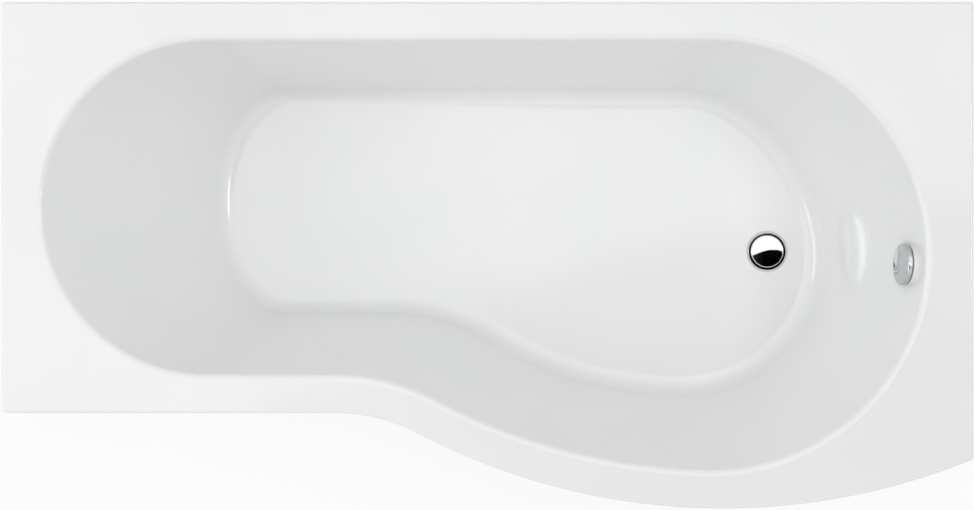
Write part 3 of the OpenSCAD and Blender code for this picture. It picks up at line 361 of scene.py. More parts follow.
mouth = (
    [Vector((x, mouth_back_y)) for x in steps(foot_c.x, head_c.x, BACK_N)]
    + [on_circle(head_c, head_r, a) for a in head_angles]
    + [Vector((x, NARROW_Y + RIM_W)) for x in steps(head_c.x, hollow.x, FRONT_N)]
    + [on_circle(hollow, hollow_r + RIM_W, a) for a in steps(90, 90 - s_turn, HOLLOW_N)]
    + [on_circle(crown, mouth_bulge_r, a) for a in steps(270 - s_turn, foot_start, BULGE_N)]
    + [on_circle(foot_c, foot_r, a) for a in foot_angles]
)


def floor_foot(a):
    t = 450 - (450 - a) * 180 / (450 - foot_start)
    if t < 360:
        return on_oval(floor_foot_c, (FOOT_OVAL_L, floor_foot_c.y - floor_wide_y), t, 2)
    return on_oval(floor_foot_c, (FOOT_OVAL_L, floor_back_y - floor_foot_c.y), t, FOOT_BACK_POWER)


floor_hollow = Vector((floor_curve_x, floor_front_y - FLOOR_HOLLOW_R))
floor_crown = Vector((floor_foot_c.x, floor_wide_y + floor_bulge_r))
floor_line = (
    [Vector((x, floor_back_y)) for x in steps(floor_foot_c.x, floor_head_c.x, BACK_N)]
    + [on_oval(floor_head_c, (HEAD_OVAL_L, floor_head_w), a, 2) for a in head_angles]
    + [Vector((x, floor_front_y)) for x in steps(floor_head_c.x, floor_curve_x, FRONT_N)]
    + [on_circle(floor_hollow, FLOOR_HOLLOW_R, a) for a in steps(90, 90 - floor_turn, HOLLOW_N)]
    + [on_circle(floor_crown, floor_bulge_r, a) for a in steps(270 - floor_turn, 270, BULGE_N)]
    + [floor_foot(a) for a in foot_angles]
)


def rounding(p, u, v, r, n):
    """Points along the rounding of radius r in a corner at p, from the leg along u to the one along v."""
    half = math.acos(max(-1, min(1, u.dot(v)))) / 2
    c = p + (u + v).normalized() * r / math.sin(half)
    a, b = p + u * r / math.tan(half) - c, p + v * r / math.tan(half) - c
    turn = math.pi - 2 * half
    return [
        c + (a * math.sin(turn * (1 - i / n)) + b * math.sin(turn * i / n)) / math.sin(turn)
        for i in range(n + 1)
    ]


COVE_N, MOUTH_N, UNDER_N, EDGE_N = 14, 12, 8, 8
edge_turns = [90 * (1 - i / EDGE_N) for i in range(EDGE_N + 1)]
LIP_EASE = 0.8
rim_insets = [EDGE_R * (1 - math.cos(rad(a))) for a in edge_turns]
rim_insets += [0, 0, LIP_EASE, LIP_T - LIP_EASE, LIP_T, LIP_T]
lip_z = RIM_Z - LIP_H
rim_levels = [RIM_Z - EDGE_R * (1 - math.sin(rad(a))) for a in edge_turns]
rim_levels += [RIM_Z - LIP_H / 2, lip_z + LIP_EASE, lip_z, lip_z, lip_z + LIP_EASE, RIM_Z - SHELL_T]
rim_rings = [rim_outline(d) for d in rim_insets]
ACRYLIC_RINGS = COVE_N + 1 + MOUTH_N + 1 + EDGE_N + 1 + 3


def spoke(k):
    """One section, from the middle of the floor out over the rim and back below it."""
    m, f = mouth[k], floor_line[k]
    out = (m - f).normalized()
    rim_out = (rim_rings[0][k] - m).normalized().to_3d()
    tilt = math.atan((m - f).length / WELL_DEPTH)
    push = out * SHELL_T * math.tan(math.pi / 4 - tilt / 2)
    steep = max(0, -out.x)
    cove = mix(COVE_R, HEAD_COVE_R, steep * steep)
    top = Vector((m.x, m.y, RIM_Z))
    foot = Vector((f.x, f.y, FLOOR_Z + floor_slope * (WASTE[0] - f.x)))
    up = (top - foot).normalized()
    inward = Vector((-out.x, -out.y, floor_slope * out.x)).normalized()
    under_top = Vector((m.x + push.x, m.y + push.y, RIM_Z - SHELL_T))
    under_foot = Vector((f.x + push.x, f.y + push.y, BASE_Z))
    under_up = (under_top - under_foot).normalized()
    return (
        rounding(foot, inward, up, cove, COVE_N)
        + rounding(top, -up, rim_out, MOUTH_R, MOUTH_N)
        + [Vector((*ring[k], z)) for ring, z in zip(rim_rings, rim_levels)]
        + rounding(under_top, rim_out, -under_up, MOUTH_R - SHELL_T, UNDER_N)
        + rounding(under_foot, under_up, -out.to_3d(), cove + SHELL_T, UNDER_N)
    )


spokes = [spoke(k) for k in range(len(mouth))]
count, length = len(spokes), len(spokes[0])
faces = [
    (k * length + j, (k + 1) % count * length + j, (k + 1) % count * length + j + 1, k * length + j + 1)
    for k in range(count)
    for j in range(length - 1)
]
skin_sides = [j >= ACRYLIC_RINGS for k in range(count) for j in range(length - 1)]
faces.append([k * length for k in reversed(range(count))])
faces.append([k * length + length - 1 for k in range(count)])
skin_sides += [False, True]
mesh = bpy.data.meshes.new("acrylic_shell")
mesh.from_pydata([p * MM for s in spokes for p in s], [], faces)
shell = bpy.data.objects.new("acrylic_shell", mesh)
bpy.context.collection.objects.link(shell)
for polygon, under in zip(mesh.polygons, skin_sides):
    polygon.material_index = int(under)

# Inserts in the mould leave a flat for the overflow in the end wall and a shallow dish for the waste
# in the floor. A pad of glass fibre thickens the floor below the dish, and both holes are drilled.

OVERFLOW_LEAN, SEAT_R, OUTER_SEAT_R, HOLE_R = 12.0, 35.0, 40.0, 26.0
OVERFLOW_Y, OVERFLOW_DROP, SEAT_PROUD = -17, 60, 0.6
overflow_z = RIM_Z - OVERFLOW_DROP
overflow_share = (overflow_z - FLOOR_Z) / WELL_DEPTH
overflow_turn = 360 + math.degrees(
    math.asin((OVERFLOW_Y - foot_c.y) / mix(foot_c.y - floor_wide_y, foot_r, overflow_share))
)


def foot_wall(a, t):
    return floor_foot(a).lerp(on_circle(foot_c, foot_r, a), t)


wall_along = foot_wall(overflow_turn + 1, overflow_share) - foot_wall(overflow_turn - 1, overflow_share)
bearing = math.atan2(-wall_along.x, wall_along.y)
wall_tilt = math.degrees(
    math.atan((foot_wall(overflow_turn, 1) - foot_wall(overflow_turn, 0)).length / WELL_DEPTH)
)
slant = math.tan(rad(wall_tilt - OVERFLOW_LEAN))
seat_lift = SEAT_R * slant + SEAT_PROUD
SEAT_BACK = seat_lift + OUTER_SEAT_R * slant + SHELL_T + SEAT_PROUD
lean = rad(OVERFLOW_LEAN)
ex = Vector((math.sin(lean) * math.cos(bearing), math.sin(lean) * math.sin(bearing), math.cos(lean)))
ey = Vector((-math.sin(bearing), math.cos(bearing), 0))
ez = ex.cross(ey)
wall_point = Vector((*foot_wall(overflow_turn, overflow_share), overflow_z))
seat = wall_point + ez * seat_lift
at_overflow = Matrix.Translation(seat * MM) @ Matrix((ex, ey, ez)).transposed().to_4x4()
at_waste = Matrix.Translation(Vector((WASTE[0], WASTE[1], 0)) * MM)


def pick_only(*objects):
    """Selects these objects alone, the first as the active one."""
    bpy.ops.object.select_all(action="DESELECT")
    for o in objects:
        o.select_set(True)
    bpy.context.view_layer.objects.active = objects[0]


def turned(name, section, sides=96):
    """Turns a section of (radius, height) round Z: each step extrudes the last ring on and resizes it.
    It starts and ends on the axis, or ends where it began, as a ring."""
    ring = section[0][0] != 0
    (r, z), rest = (section[0], section[1:]) if ring else (section[1], section[2:])
    bpy.ops.mesh.primitive_circle_add(
        vertices=sides, radius=r * MM, fill_type="NGON", location=(0, 0, z * MM)
    )
    piece = bpy.context.object
    piece.name = piece.data.name = name
    bpy.ops.object.mode_set(mode="EDIT")
    bpy.ops.mesh.select_all(action="SELECT")
    for r1, z1 in rest:
        if r1 == 0 and z1 == z:
            break
        bpy.ops.mesh.extrude_region_move(TRANSFORM_OT_translate={"value": (0, 0, (z1 - z) * MM)})
        if r1 == 0:
            bpy.ops.mesh.merge(type="CENTER")
            break
        if r1 != r:
            bpy.ops.transform.resize(value=(r1 / r, r1 / r, 1), center_override=(0, 0, z1 * MM))
        r, z = r1, z1
    if ring:
        bpy.ops.mesh.select_all(action="DESELECT")
        bpy.ops.mesh.select_face_by_sides(number=sides, type="EQUAL")
        bpy.ops.mesh.delete(type="ONLY_FACE")
    bpy.ops.mesh.select_all(action="SELECT")
    bpy.ops.mesh.remove_doubles(threshold=1e-6)
    bpy.ops.mesh.normals_make_consistent(inside=False)
    bpy.ops.object.mode_set(mode="OBJECT")
    bpy.ops.object.transform_apply()
    return piece


def round_bar(name, r, z0, z1, sides=96):
    return turned(name, [(0, z0), (r, z0), (r, z1), (0, z1)], sides)


def arc(r, z, radius, a0, a1, n=5):
    """Points of a section's rounding about (r, z), from a0 to a1 degrees."""
    return [
        (r + radius * math.cos(rad(mix(a0, a1, i / n))), z + radius * math.sin(rad(mix(a0, a1, i / n))))
        for i in range(n + 1)
    ]


def put(piece, matrix):
    """Moves a piece to its place in its mesh, so that its object stays at the origin."""
    pick_only(piece)
    piece.matrix_world = matrix @ piece.matrix_world
    bpy.ops.object.transform_apply()
    return piece


def slice_off(piece, point, normal, threshold=1e-4):
    """Cuts off what lies beyond a plane, and closes the cut."""
    pick_only(piece)
    bpy.ops.object.mode_set(mode="EDIT")
    bpy.ops.mesh.select_all(action="SELECT")
    bpy.ops.mesh.bisect(
        plane_co=[v * MM for v in point], plane_no=normal, use_fill=True, clear_outer=True,
        threshold=threshold,
    )
    bpy.ops.object.mode_set(mode="OBJECT")
    return piece


def carve(piece, tool, operation="DIFFERENCE"):
    """Cuts a tool out of a piece, or adds it to the piece, and throws the tool away."""
    pick_only(piece)
    change = piece.modifiers.new("carve", "BOOLEAN")
    change.operation, change.solver, change.object = operation, "EXACT", tool
    bpy.ops.object.modifier_apply(modifier=change.name)
    bpy.data.objects.remove(tool)
    return piece


def join(first, *others):
    pick_only(first, *others)
    bpy.ops.object.join()
    return first


def soften(piece, angle=32):
    """Smooth shading that keeps the edges, with large flat faces ruling the normals."""
    pick_only(piece)
    bpy.ops.object.shade_smooth_by_angle(angle=rad(angle))
    even = piece.modifiers.new("even", "WEIGHTED_NORMAL")
    even.keep_sharp = True
    bpy.ops.object.modifier_apply(modifier=even.name)
    return piece


def fit(piece, material, body, slot, *nodes):
    """Gives a piece its finish, its body and the nodes that it stands for."""
    if not piece.data.materials:
        piece.data.materials.append(material)
    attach(piece, body)
    if nodes:
        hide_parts(*nodes)
    return piece


def lay_up(piece):
    """Marks all of a piece as glass fibre, the shell's second material."""
    for face in piece.data.polygons:
        face.material_index = 1


PAD_T = 3
PAD_FACE_Z = BASE_Z - PAD_T
pad_top = BASE_Z + 3
pad = turned(
    "waste_pad", [(0, PAD_FACE_Z), (42, PAD_FACE_Z), (44, PAD_FACE_Z + 2), (44, pad_top), (0, pad_top)]
)
lay_up(pad)
carve(shell, put(pad, at_waste), "UNION")
inner = turned(
    "overflow_flat",
    [(0, -SEAT_BACK), (SEAT_R, -SEAT_BACK), *arc(SEAT_R - 1.5, -1.5, 1.5, 0, 90), (0, 0)],
)
carve(shell, put(inner, at_overflow), "UNION")
outer = put(round_bar("outer_flat", OUTER_SEAT_R, -SEAT_BACK, 0), at_overflow)
tilt = rad(wall_tilt)
wall_normal = Vector(
    (-math.cos(tilt) * math.cos(bearing), -math.cos(tilt) * math.sin(bearing), math.sin(tilt))
)
slice_off(outer, wall_point - wall_normal * SHELL_T / 2, wall_normal)
lay_up(outer)
carve(shell, outer, "UNION")
RECESS_R, RECESS_Z = 37.5, FLOOR_Z - 3
dish = turned(
    "recess_tool",
    [
        (0, RECESS_Z), *arc(RECESS_R - 1, RECESS_Z + 1, 1, -90, 0, 4),
        *arc(RECESS_R + 2, FLOOR_Z - 2, 2, 180, 95, 6), (RECESS_R + 7, FLOOR_Z + 0.5),
        (RECESS_R + 7, FLOOR_Z + 9), (0, FLOOR_Z + 9),
    ],
    128,
)
carve(shell, put(dish, at_waste))
carve(shell, put(round_bar("waste_drill", HOLE_R, PAD_FACE_Z - 1, FLOOR_Z), at_waste))
carve(shell, put(round_bar("overflow_drill", HOLE_R, -SEAT_BACK - 1, 1), at_overflow))
soften(shell)


def new_material(name):
    """A material with only its shader and its Object coordinates; returns all three."""
    material = bpy.data.materials.new(name)
    material.use_nodes = True
    material.node_tree.nodes.clear()
    shader = add_node(material.node_tree, "ShaderNodeBsdfPrincipled")
    add_node(material.node_tree, "ShaderNodeOutputMaterial", {"Surface": shader.outputs[0]})
    where = add_node(material.node_tree, "ShaderNodeTexCoord").outputs["Object"]
    return material, shader, where


def coat(tree, shader, colour, gloss, rough, height=None, depth_mm=0, strength=0, **own):
    """Feeds a shader its colour, its roughness (a pattern and its range) and a relief that is
    depth_mm deep. own holds the values that are the same all over."""
    tree.links.new(colour, shader.inputs["Base Color"])
    rough = add_node(tree, "ShaderNodeMapRange", {"Value": gloss, "To Min": rough[0], "To Max": rough[1]})
    tree.links.new(rough.outputs[0], shader.inputs["Roughness"])
    if depth_mm:
        bump = {"Height": height, "Distance": depth_mm * MM, "Strength": strength}
        tree.links.new(add_node(tree, "ShaderNodeBump", bump).outputs[0], shader.inputs["Normal"])
    for name, value in own.items():
        shader.inputs[name].default_value = value


def finish(name, pattern, stops, rough, relief=(), grain=None, **own):
    """A material whose colour and roughness follow one noise of (scale, detail). relief is (depth in
    mm, strength) and follows the grain, or the same noise where there is none."""
    material, shader, where = new_material(name)
    tree = material.node_tree
    noises = [
        add_node(
            tree, "ShaderNodeTexNoise", {"Vector": where, "Scale": size[0], "Detail": size[1]}
        ).outputs[0]
        for size in (pattern, grain) if size
    ]
    colour = add_node(tree, "ShaderNodeValToRGB", {"Fac": noises[0]}, stops).outputs[0]
    coat(tree, shader, colour, noises[0], rough, noises[-1], *relief, **own)
    return material


# Cast acrylic, vacuum formed: clean white with a deep gloss, and the faint long waves that a drawn
# sheet keeps, some 70 mm from crest to crest.
acrylic = finish(
    "vacuum_formed_acrylic", (3.5, 4), ((0.3, "#EDEEEE"), (0.7, "#F0F1F0")), (0.07, 0.13),
    (0.05, 0.5), (14, 1), IOR=1.49,
)

# Sprayed glass fibre and polyester: milky resin over chopped strands about 1.5 mm wide and 40 mm
# long that lie in every direction, wet-looking where the roller pressed it.
grp, shader, where = new_material("sprayed_glass_fibre")
tree = grp.node_tree
strands = None
for turn, seed in ((12, 0.0), (57, 3.1), (103, 6.7), (151, 9.4)):
    laid = add_node(
        tree, "ShaderNodeMapping",
        {"Vector": where, "Rotation": (rad(turn), rad(turn / 2), rad(turn)), "Scale": (24, 620, 24)},
    )
    laid.inputs["Location"].default_value = (seed, seed, seed)
    one = add_node(
        tree, "ShaderNodeTexNoise", {"Vector": laid.outputs[0], "Scale": 1.0, "Detail": 1.0}
    ).outputs[0]
    strands = one if strands is None else add_node(
        tree, "ShaderNodeMath", {0: strands, 1: one}, operation="MAXIMUM"
    ).outputs[0]
lumps = add_node(tree, "ShaderNodeTexNoise", {"Vector": where, "Scale": 38.0, "Detail": 3.0}).outputs[0]
fibre = add_node(
    tree, "ShaderNodeMapRange", {"Value": strands, "From Min": 0.52, "From Max": 0.78}
).outputs[0]
colour = add_node(
    tree, "ShaderNodeValToRGB", {"Fac": fibre}, ((0.0, "#C9C6B6"), (0.55, "#D6D3C6"), (1.0, "#E6E4DA"))
).outputs[0]
height = add_node(tree, "ShaderNodeMath", {0: fibre, 1: lumps}, operation="ADD").outputs[0]
coat(tree, shader, colour, lumps, (0.28, 0.55), height, 0.9, 0.8, IOR=1.54)

shell.data.materials.append(acrylic)
shell.data.materials.append(grp)
fit(shell, acrylic, "root", "acrylic", "bath_shell")

# baseboard and battens. A chipboard panel is bonded below the floor and softwood battens below the
# rim while the glass fibre is wet, so milky resin has run over them. They stiffen the shell and give
# the cradle and the wall clips wood to screw into.

BOARD_T, BATTEN_T, BATTEN_W, BATTEN_IN = 18.0, 18.0, 40.0, 8.0
BOARD_Z = BASE_Z - BOARD_T
BATTEN_Z = RIM_Z - SHELL_T - BATTEN_T


def eased_copy(node, name, ease, segments=2):
    """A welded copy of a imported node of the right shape, its sharp edges eased as made ones are."""
    piece = bpy.data.objects.new(name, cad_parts[node].data.copy())
    piece.data.materials.clear()
    bpy.context.collection.objects.link(piece)
    pick_only(piece)
    bpy.ops.mesh.customdata_custom_splitnormals_clear()
    bpy.ops.object.mode_set(mode="EDIT")
    bpy.ops.mesh.select_all(action="SELECT")
    bpy.ops.mesh.remove_doubles(threshold=2e-6)
    bpy.ops.mesh.dissolve_limited(angle_limit=rad(0.5))
    bpy.ops.object.mode_set(mode="OBJECT")
    bevel = piece.modifiers.new("ease", "BEVEL")
    bevel.width, bevel.segments, bevel.limit_method = ease * MM, segments, "ANGLE"
    bevel.angle_limit, bevel.harden_normals = rad(40), False
    bpy.ops.object.modifier_apply(modifier=bevel.name)
    return soften(piece, 40)


def resin_smears(tree, where, wood, pattern, edge, code):
    """Lays dried resin over wood in patches; returns the colour and where the resin lies."""
    smear = {"Vector": where, "Scale": pattern[0], "Detail": pattern[1]}
    smear = add_node(tree, "ShaderNodeTexNoise", smear).outputs[0]
    wet = {"Value": smear, "From Min": edge[0], "From Max": edge[1]}
    wet = add_node(tree, "ShaderNodeMapRange", wet).outputs[0]
    mixed = {0: wet, 6: wood, 7: hex_colour(code)}
    return add_node(tree, "ShaderNodeMix", mixed, data_type="RGBA").outputs[2], wet


# Chipboard: pressed flakes of 2 to 4 mm in many browns, with resin smears that dried pale.
chipboard, shader, where = new_material("resin_wet_chipboard")
tree = chipboard.node_tree
flakes = add_node(tree, "ShaderNodeTexVoronoi", {"Vector": where, "Scale": 330.0, "Randomness": 1.0})
fine = add_node(tree, "ShaderNodeTexNoise", {"Vector": where, "Scale": 900.0, "Detail": 4.0}).outputs[0]
shade = add_node(tree, "ShaderNodeSeparateColor", {0: flakes.outputs["Color"]}).outputs[0]
wood = add_node(
    tree, "ShaderNodeValToRGB", {"Fac": shade},
    ((0.0, "#8F6B43"), (0.35, "#B48A5A"), (0.7, "#C8A271"), (1.0, "#D8BA8C")),
).outputs[0]
colour, wet = resin_smears(tree, where, wood, (9, 6), (0.53, 0.6), "#CFCBBB")
coat(tree, shader, colour, wet, (0.85, 0.38), fine, 0.25, 0.7)


def sawn_softwood(name, along_x):
    """Sawn softwood: straight grain with growth rings some 3 mm apart along each batten."""
    made, shader, where = new_material(name)
    tree = made.node_tree
    stretch = (3, 330, 330) if along_x else (330, 3, 330)
    laid = add_node(tree, "ShaderNodeMapping", {"Vector": where, "Scale": stretch})
    rings = add_node(
        tree, "ShaderNodeTexNoise", {"Vector": laid.outputs[0], "Scale": 1.0, "Detail": 3.0}
    ).outputs[0]
    wood = add_node(
        tree, "ShaderNodeValToRGB", {"Fac": rings},
        ((0.3, "#B98E58"), (0.5, "#D6B27C"), (0.68, "#E3C795")),
    ).outputs[0]
    colour, wet = resin_smears(tree, where, wood, (7, 5), (0.55, 0.61), "#D2CEC0")
    coat(tree, shader, colour, wet, (0.75, 0.4), rings, 0.3, 0.7)
    return made


fit(eased_copy("baseboard", "bonded_baseboard", 1.2), chipboard, "root", "board", "baseboard")
softwood_x = sawn_softwood("sawn_softwood_lengthways", True)
softwood_y = sawn_softwood("sawn_softwood_crossways", False)
for node, wood in (
    ("back_batten", softwood_x), ("front_batten", softwood_x), ("bulge_batten", softwood_x),
    ("head_batten", softwood_y), ("foot_batten", softwood_y),
):
    fit(eased_copy(node, "bonded_" + node, 1.5), wood, "root", "timber", node)

# head_rail, foot_rail and centre_plate. Two channels folded from galvanised strip are screwed below
# the baseboard and reach out past it to the legs. A pressed plate holds the middle leg's socket.

STUD_R, RAIL_T, PLATE_T = 6.0, 2.5, 3.0
HEAD_RAIL_X, FOOT_RAIL_X = END_X - 1155, END_X - 415
WALL_LEG_Y = floor_back_y + 68
LEGS = {
    "head_wall": (HEAD_RAIL_X, WALL_LEG_Y),
    "head_front": (HEAD_RAIL_X, floor_front_y - 65),
    "foot_wall": (FOOT_RAIL_X, WALL_LEG_Y),
    "foot_front": (FOOT_RAIL_X, floor_wide_y - 65),
}
CENTRE_LEG = (END_X - 775, (floor_back_y + floor_front_y) / 2)

# Hot-dip galvanised steel: grey zinc crystals 5 to 12 mm across, each with its own sheen.
galvanised, shader, where = new_material("hot_dip_galvanised_steel")
tree = galvanised.node_tree
crystals = add_node(tree, "ShaderNodeTexVoronoi", {"Vector": where, "Scale": 120.0})
shade = add_node(tree, "ShaderNodeSeparateColor", {0: crystals.outputs["Color"]}).outputs[0]
dull = add_node(tree, "ShaderNodeTexNoise", {"Vector": where, "Scale": 35.0, "Detail": 5.0}).outputs[0]
colour = add_node(
    tree, "ShaderNodeValToRGB", {"Fac": shade}, ((0.0, "#A3A8AC"), (0.5, "#B4B9BC"), (1.0, "#C6CACC"))
).outputs[0]
sheen = add_node(tree, "ShaderNodeMath", {0: shade, 1: dull}, operation="MULTIPLY").outputs[0]
coat(tree, shader, colour, sheen, (0.34, 0.62), dull, 0.06, 0.5, Metallic=1.0)

# Bright zinc plate on cold-drawn steel, as on studs and nuts: bluish, with fine drawing marks.
bright_zinc = finish(
    "bright_zinc_plate", (420, 3), ((0.3, "#B4BAC0"), (0.7, "#CBD0D4")), (0.22, 0.4), (0.03, 0.5),
    Metallic=1.0,
)

# Yellow passivated zinc, as on chipboard screws: gold with a green and pink bloom.
yellow_zinc = finish(
    "yellow_passivated_zinc", (260, 2), ((0.25, "#B7A04E"), (0.5, "#CDA94C"), (0.75, "#C68F62")),
    (0.22, 0.42), Metallic=1.0,
)

for node in ("head_rail", "foot_rail"):
    fit(eased_copy(node, "folded_" + node, 1.1, 3), galvanised, "root", "zinc", node)

plate = eased_copy("centre_plate", "pressed_centre_plate", 0.5)
SOCKET_R, PLATE_Z, WELD_W = STUD_R + 4, BOARD_Z - PLATE_T, 3.2
weld_in, weld_out, weld_top = SOCKET_R - 0.5, SOCKET_R + WELD_W, PLATE_Z + 0.3
weld = turned(
    "socket_weld",
    [
        (weld_in, weld_top), (weld_in, PLATE_Z - WELD_W - 0.2),
        *arc(weld_out, PLATE_Z - WELD_W, WELD_W, 180, 90, 4)[1:], (weld_out, weld_top),
        (weld_in, weld_top),
    ],
    48,
)
put(weld, Matrix.Translation(Vector((*CENTRE_LEG, 0)) * MM))
fit(join(plate, soften(weld)), bright_zinc, "root", "zinc", "centre_plate")

# rail_nuts. A flanged lock nut above and below the rail grips it at each leg, so the legs set the
# bath's height. Cold formed steel with its corners turned off, zinc plated.
NUT_R, NUT_H, WASHER_R, WASHER_T = STUD_R * 1.75, STUD_R * 1.3, STUD_R * 2.1, 1.6


def duplicate(piece, name, matrix):
    """A copy with its own mesh, put in its place."""
    made = bpy.data.objects.new(name, piece.data.copy())
    bpy.context.collection.objects.link(made)
    made.data.transform(matrix)
    if matrix.to_3x3().determinant() < 0:
        made.data.flip_normals()
    return made


RUN_GAP = 0.05


def hex_nut(name, height, flange_t):
    """A hexagon whose corners a lathe has turned off, on a flange, with its threaded bore."""
    piece = round_bar(name, NUT_R, 0, height, 6)
    flat_r = NUT_R * math.cos(rad(30))
    foot = [(0, 0), (flat_r - 0.3, 0), (NUT_R + 0.2, 1.3)]
    if flange_t:
        foot = [(0, -1), (NUT_R + 1, -1), (NUT_R + 1, 0.4)]
    crest = [(NUT_R + 0.2, height - 1.3), (flat_r - 0.3, height), (0, height)]
    carve(piece, turned("lathe_shape", foot + crest, 64), "INTERSECT")
    if flange_t:
        washer = [
            (0, 0), (WASHER_R, 0), (WASHER_R, flange_t * 0.5), (NUT_R - 0.5, flange_t + 0.5),
            (0, flange_t + 0.5),
        ]
        carve(piece, turned("washer", washer, 64), "UNION")
    wide, tight = STUD_R + 0.8, STUD_R + RUN_GAP
    bore = [
        (0, -1), (wide, -1), (tight, 0.6), (tight, height - 0.6), (wide, height + 1), (0, height + 1),
    ]
    carve(piece, turned("tap", bore, 32))
    return soften(piece, 25)


pattern = hex_nut("nut_pattern", NUT_H, WASHER_T)
nuts = []
flip = Matrix.Scale(-1, 4, (0, 0, 1))
for i, (x, y) in enumerate(LEGS.values()):
    spin = Matrix.Rotation(rad(17 * i + 8), 4, "Z")
    above = Matrix.Translation(Vector((x, y, BOARD_Z)) * MM) @ spin
    below = Matrix.Translation(Vector((x, y, BOARD_Z - RAIL_T)) * MM) @ spin @ flip
    nuts += [duplicate(pattern, "nut", above), duplicate(pattern, "nut", below)]
bpy.data.objects.remove(pattern)
nuts = join(*nuts)
nuts.name = "flanged_rail_nuts"
fit(nuts, bright_zinc, "root", "zinc", "rail_nuts")

# Studs and feet. Each leg is a length of zinc plated M12 rod whose thread is rolled, with a nut that
# locks it into a nylon pad. Turning the rod in its pad raises or lowers the bath.
STUD_Z, STUD_TOP, PAD_R, PAD_H, PITCH = 5.0, BOARD_Z + 38, 25.0, 14.0, 1.75
CENTRE_STUD_TOP = PLATE_Z - 10 - 1


def rolled_stud(name, top):
    """A rod with a helical thread: one ridge, repeated up the rod and swept round it by one pitch."""
    root = STUD_R - 0.95
    ridge = [(root, 0.0), (STUD_R, PITCH * 0.42), (STUD_R, PITCH * 0.55), (root, PITCH)]
    low = STUD_Z - 1.5 * PITCH
    bpy.ops.mesh.primitive_plane_add(size=1, location=(0, 0, 0))
    rod = bpy.context.object
    rod.name = name
    bpy.ops.object.mode_set(mode="EDIT")
    bpy.ops.mesh.select_all(action="SELECT")
    bpy.ops.mesh.merge(type="CENTER")
    bpy.ops.transform.translate(value=(root * MM, 0, low * MM))
    for (r0, z0), (r1, z1) in zip(ridge, ridge[1:]):
        bpy.ops.mesh.extrude_vertices_move(
            TRANSFORM_OT_translate={"value": ((r1 - r0) * MM, 0, (z1 - z0) * MM)}
        )
    bpy.ops.object.mode_set(mode="OBJECT")
    rows = rod.modifiers.new("rows", "ARRAY")
    rows.count = int((top - STUD_Z) / PITCH) + 3
    rows.use_relative_offset, rows.use_constant_offset = False, True
    rows.constant_offset_displace = (0, 0, PITCH * MM)
    rows.use_merge_vertices, rows.merge_threshold = True, 1e-5
    bpy.ops.object.modifier_apply(modifier="rows")
    sweep = rod.modifiers.new("sweep", "SCREW")
    sweep.axis, sweep.angle, sweep.screw_offset = "Z", 2 * math.pi, PITCH * MM
    sweep.steps = sweep.render_steps = 24
    bpy.ops.object.modifier_apply(modifier="sweep")
    bpy.ops.object.mode_set(mode="EDIT")
    bpy.ops.mesh.select_all(action="SELECT")
    bpy.ops.mesh.remove_doubles(threshold=2e-5)
    bpy.ops.object.mode_set(mode="OBJECT")
    for height, way in ((STUD_Z, -1), (top, 1)):
        slice_off(rod, (0, 0, height), (0, 0, way), 1e-7)
    bpy.ops.object.mode_set(mode="EDIT")
    bpy.ops.mesh.select_all(action="SELECT")
    bpy.ops.mesh.normals_make_consistent(inside=False)
    bpy.ops.object.mode_set(mode="OBJECT")
    pointed = turned(
        "stud_end",
        [(0, STUD_Z - 1), (STUD_R - 1.6, STUD_Z - 1), (STUD_R - 1.2, STUD_Z), (STUD_R + 1, STUD_Z + 2.2),
         (STUD_R + 1, top - 2.2), (STUD_R - 1.2, top), (STUD_R - 1.6, top + 1), (0, top + 1)],
        48,
    )
    carve(rod, pointed, "INTERSECT")
    return rod


def bar(centre, size):
    """A block, ready to be shaped."""
    bpy.ops.mesh.primitive_cube_add(size=1, location=[v * MM for v in centre])
    made = bpy.context.object
    made.scale = [v * MM for v in size]
    bpy.ops.object.transform_apply()
    return made


def add_webs(piece, turns, centre, size, point, normal):
    """Unites webs with a piece at these turns round Z. Each is a block whose corner a plane cuts off."""
    for turn in turns:
        web = slice_off(bar(centre, size), point, normal)
        carve(piece, put(web, Matrix.Rotation(rad(turn), 4, "Z")), "UNION")


def moulded_pad(name):
    """A nylon pad: a flared skirt under a socket, with six webs between them."""
    piece = turned(
        name,
        [
            (0, 0), (PAD_R - 1.2, 0), *arc(PAD_R - 1, 1, 1, -90, 0, 4),
            *arc(PAD_R - 0.8, 2.8, 0.8, 0, 70, 4), (PAD_R - 2, 5), (STUD_R + 7, 6.5),
            *arc(STUD_R + 7, 8.4, 1.9, -95, -170, 4), (STUD_R + 4.6, PAD_H - 0.6),
            *arc(STUD_R + 3.9, PAD_H - 0.7, 0.7, 0, 90, 3), (STUD_R, PAD_H), (STUD_R, STUD_Z),
            (0, STUD_Z),
        ],
        72,
    )
    add_webs(
        piece, range(15, 375, 60), (STUD_R + 8.2, 0, 8), (9, 1.8, 7), (STUD_R + 4.5, 0, 11.2),
        (0.55, 0, 0.83),
    )
    return soften(piece, 30)


# Moulded nylon: black, matt, with the fine grain of a spark-eroded mould.
nylon = finish(
    "moulded_black_nylon", (60, 4), ((0.35, "#1B1C1E"), (0.7, "#2A2B2D")), (0.42, 0.6), (0.05, 0.5),
    (900, 2), IOR=1.53,
)

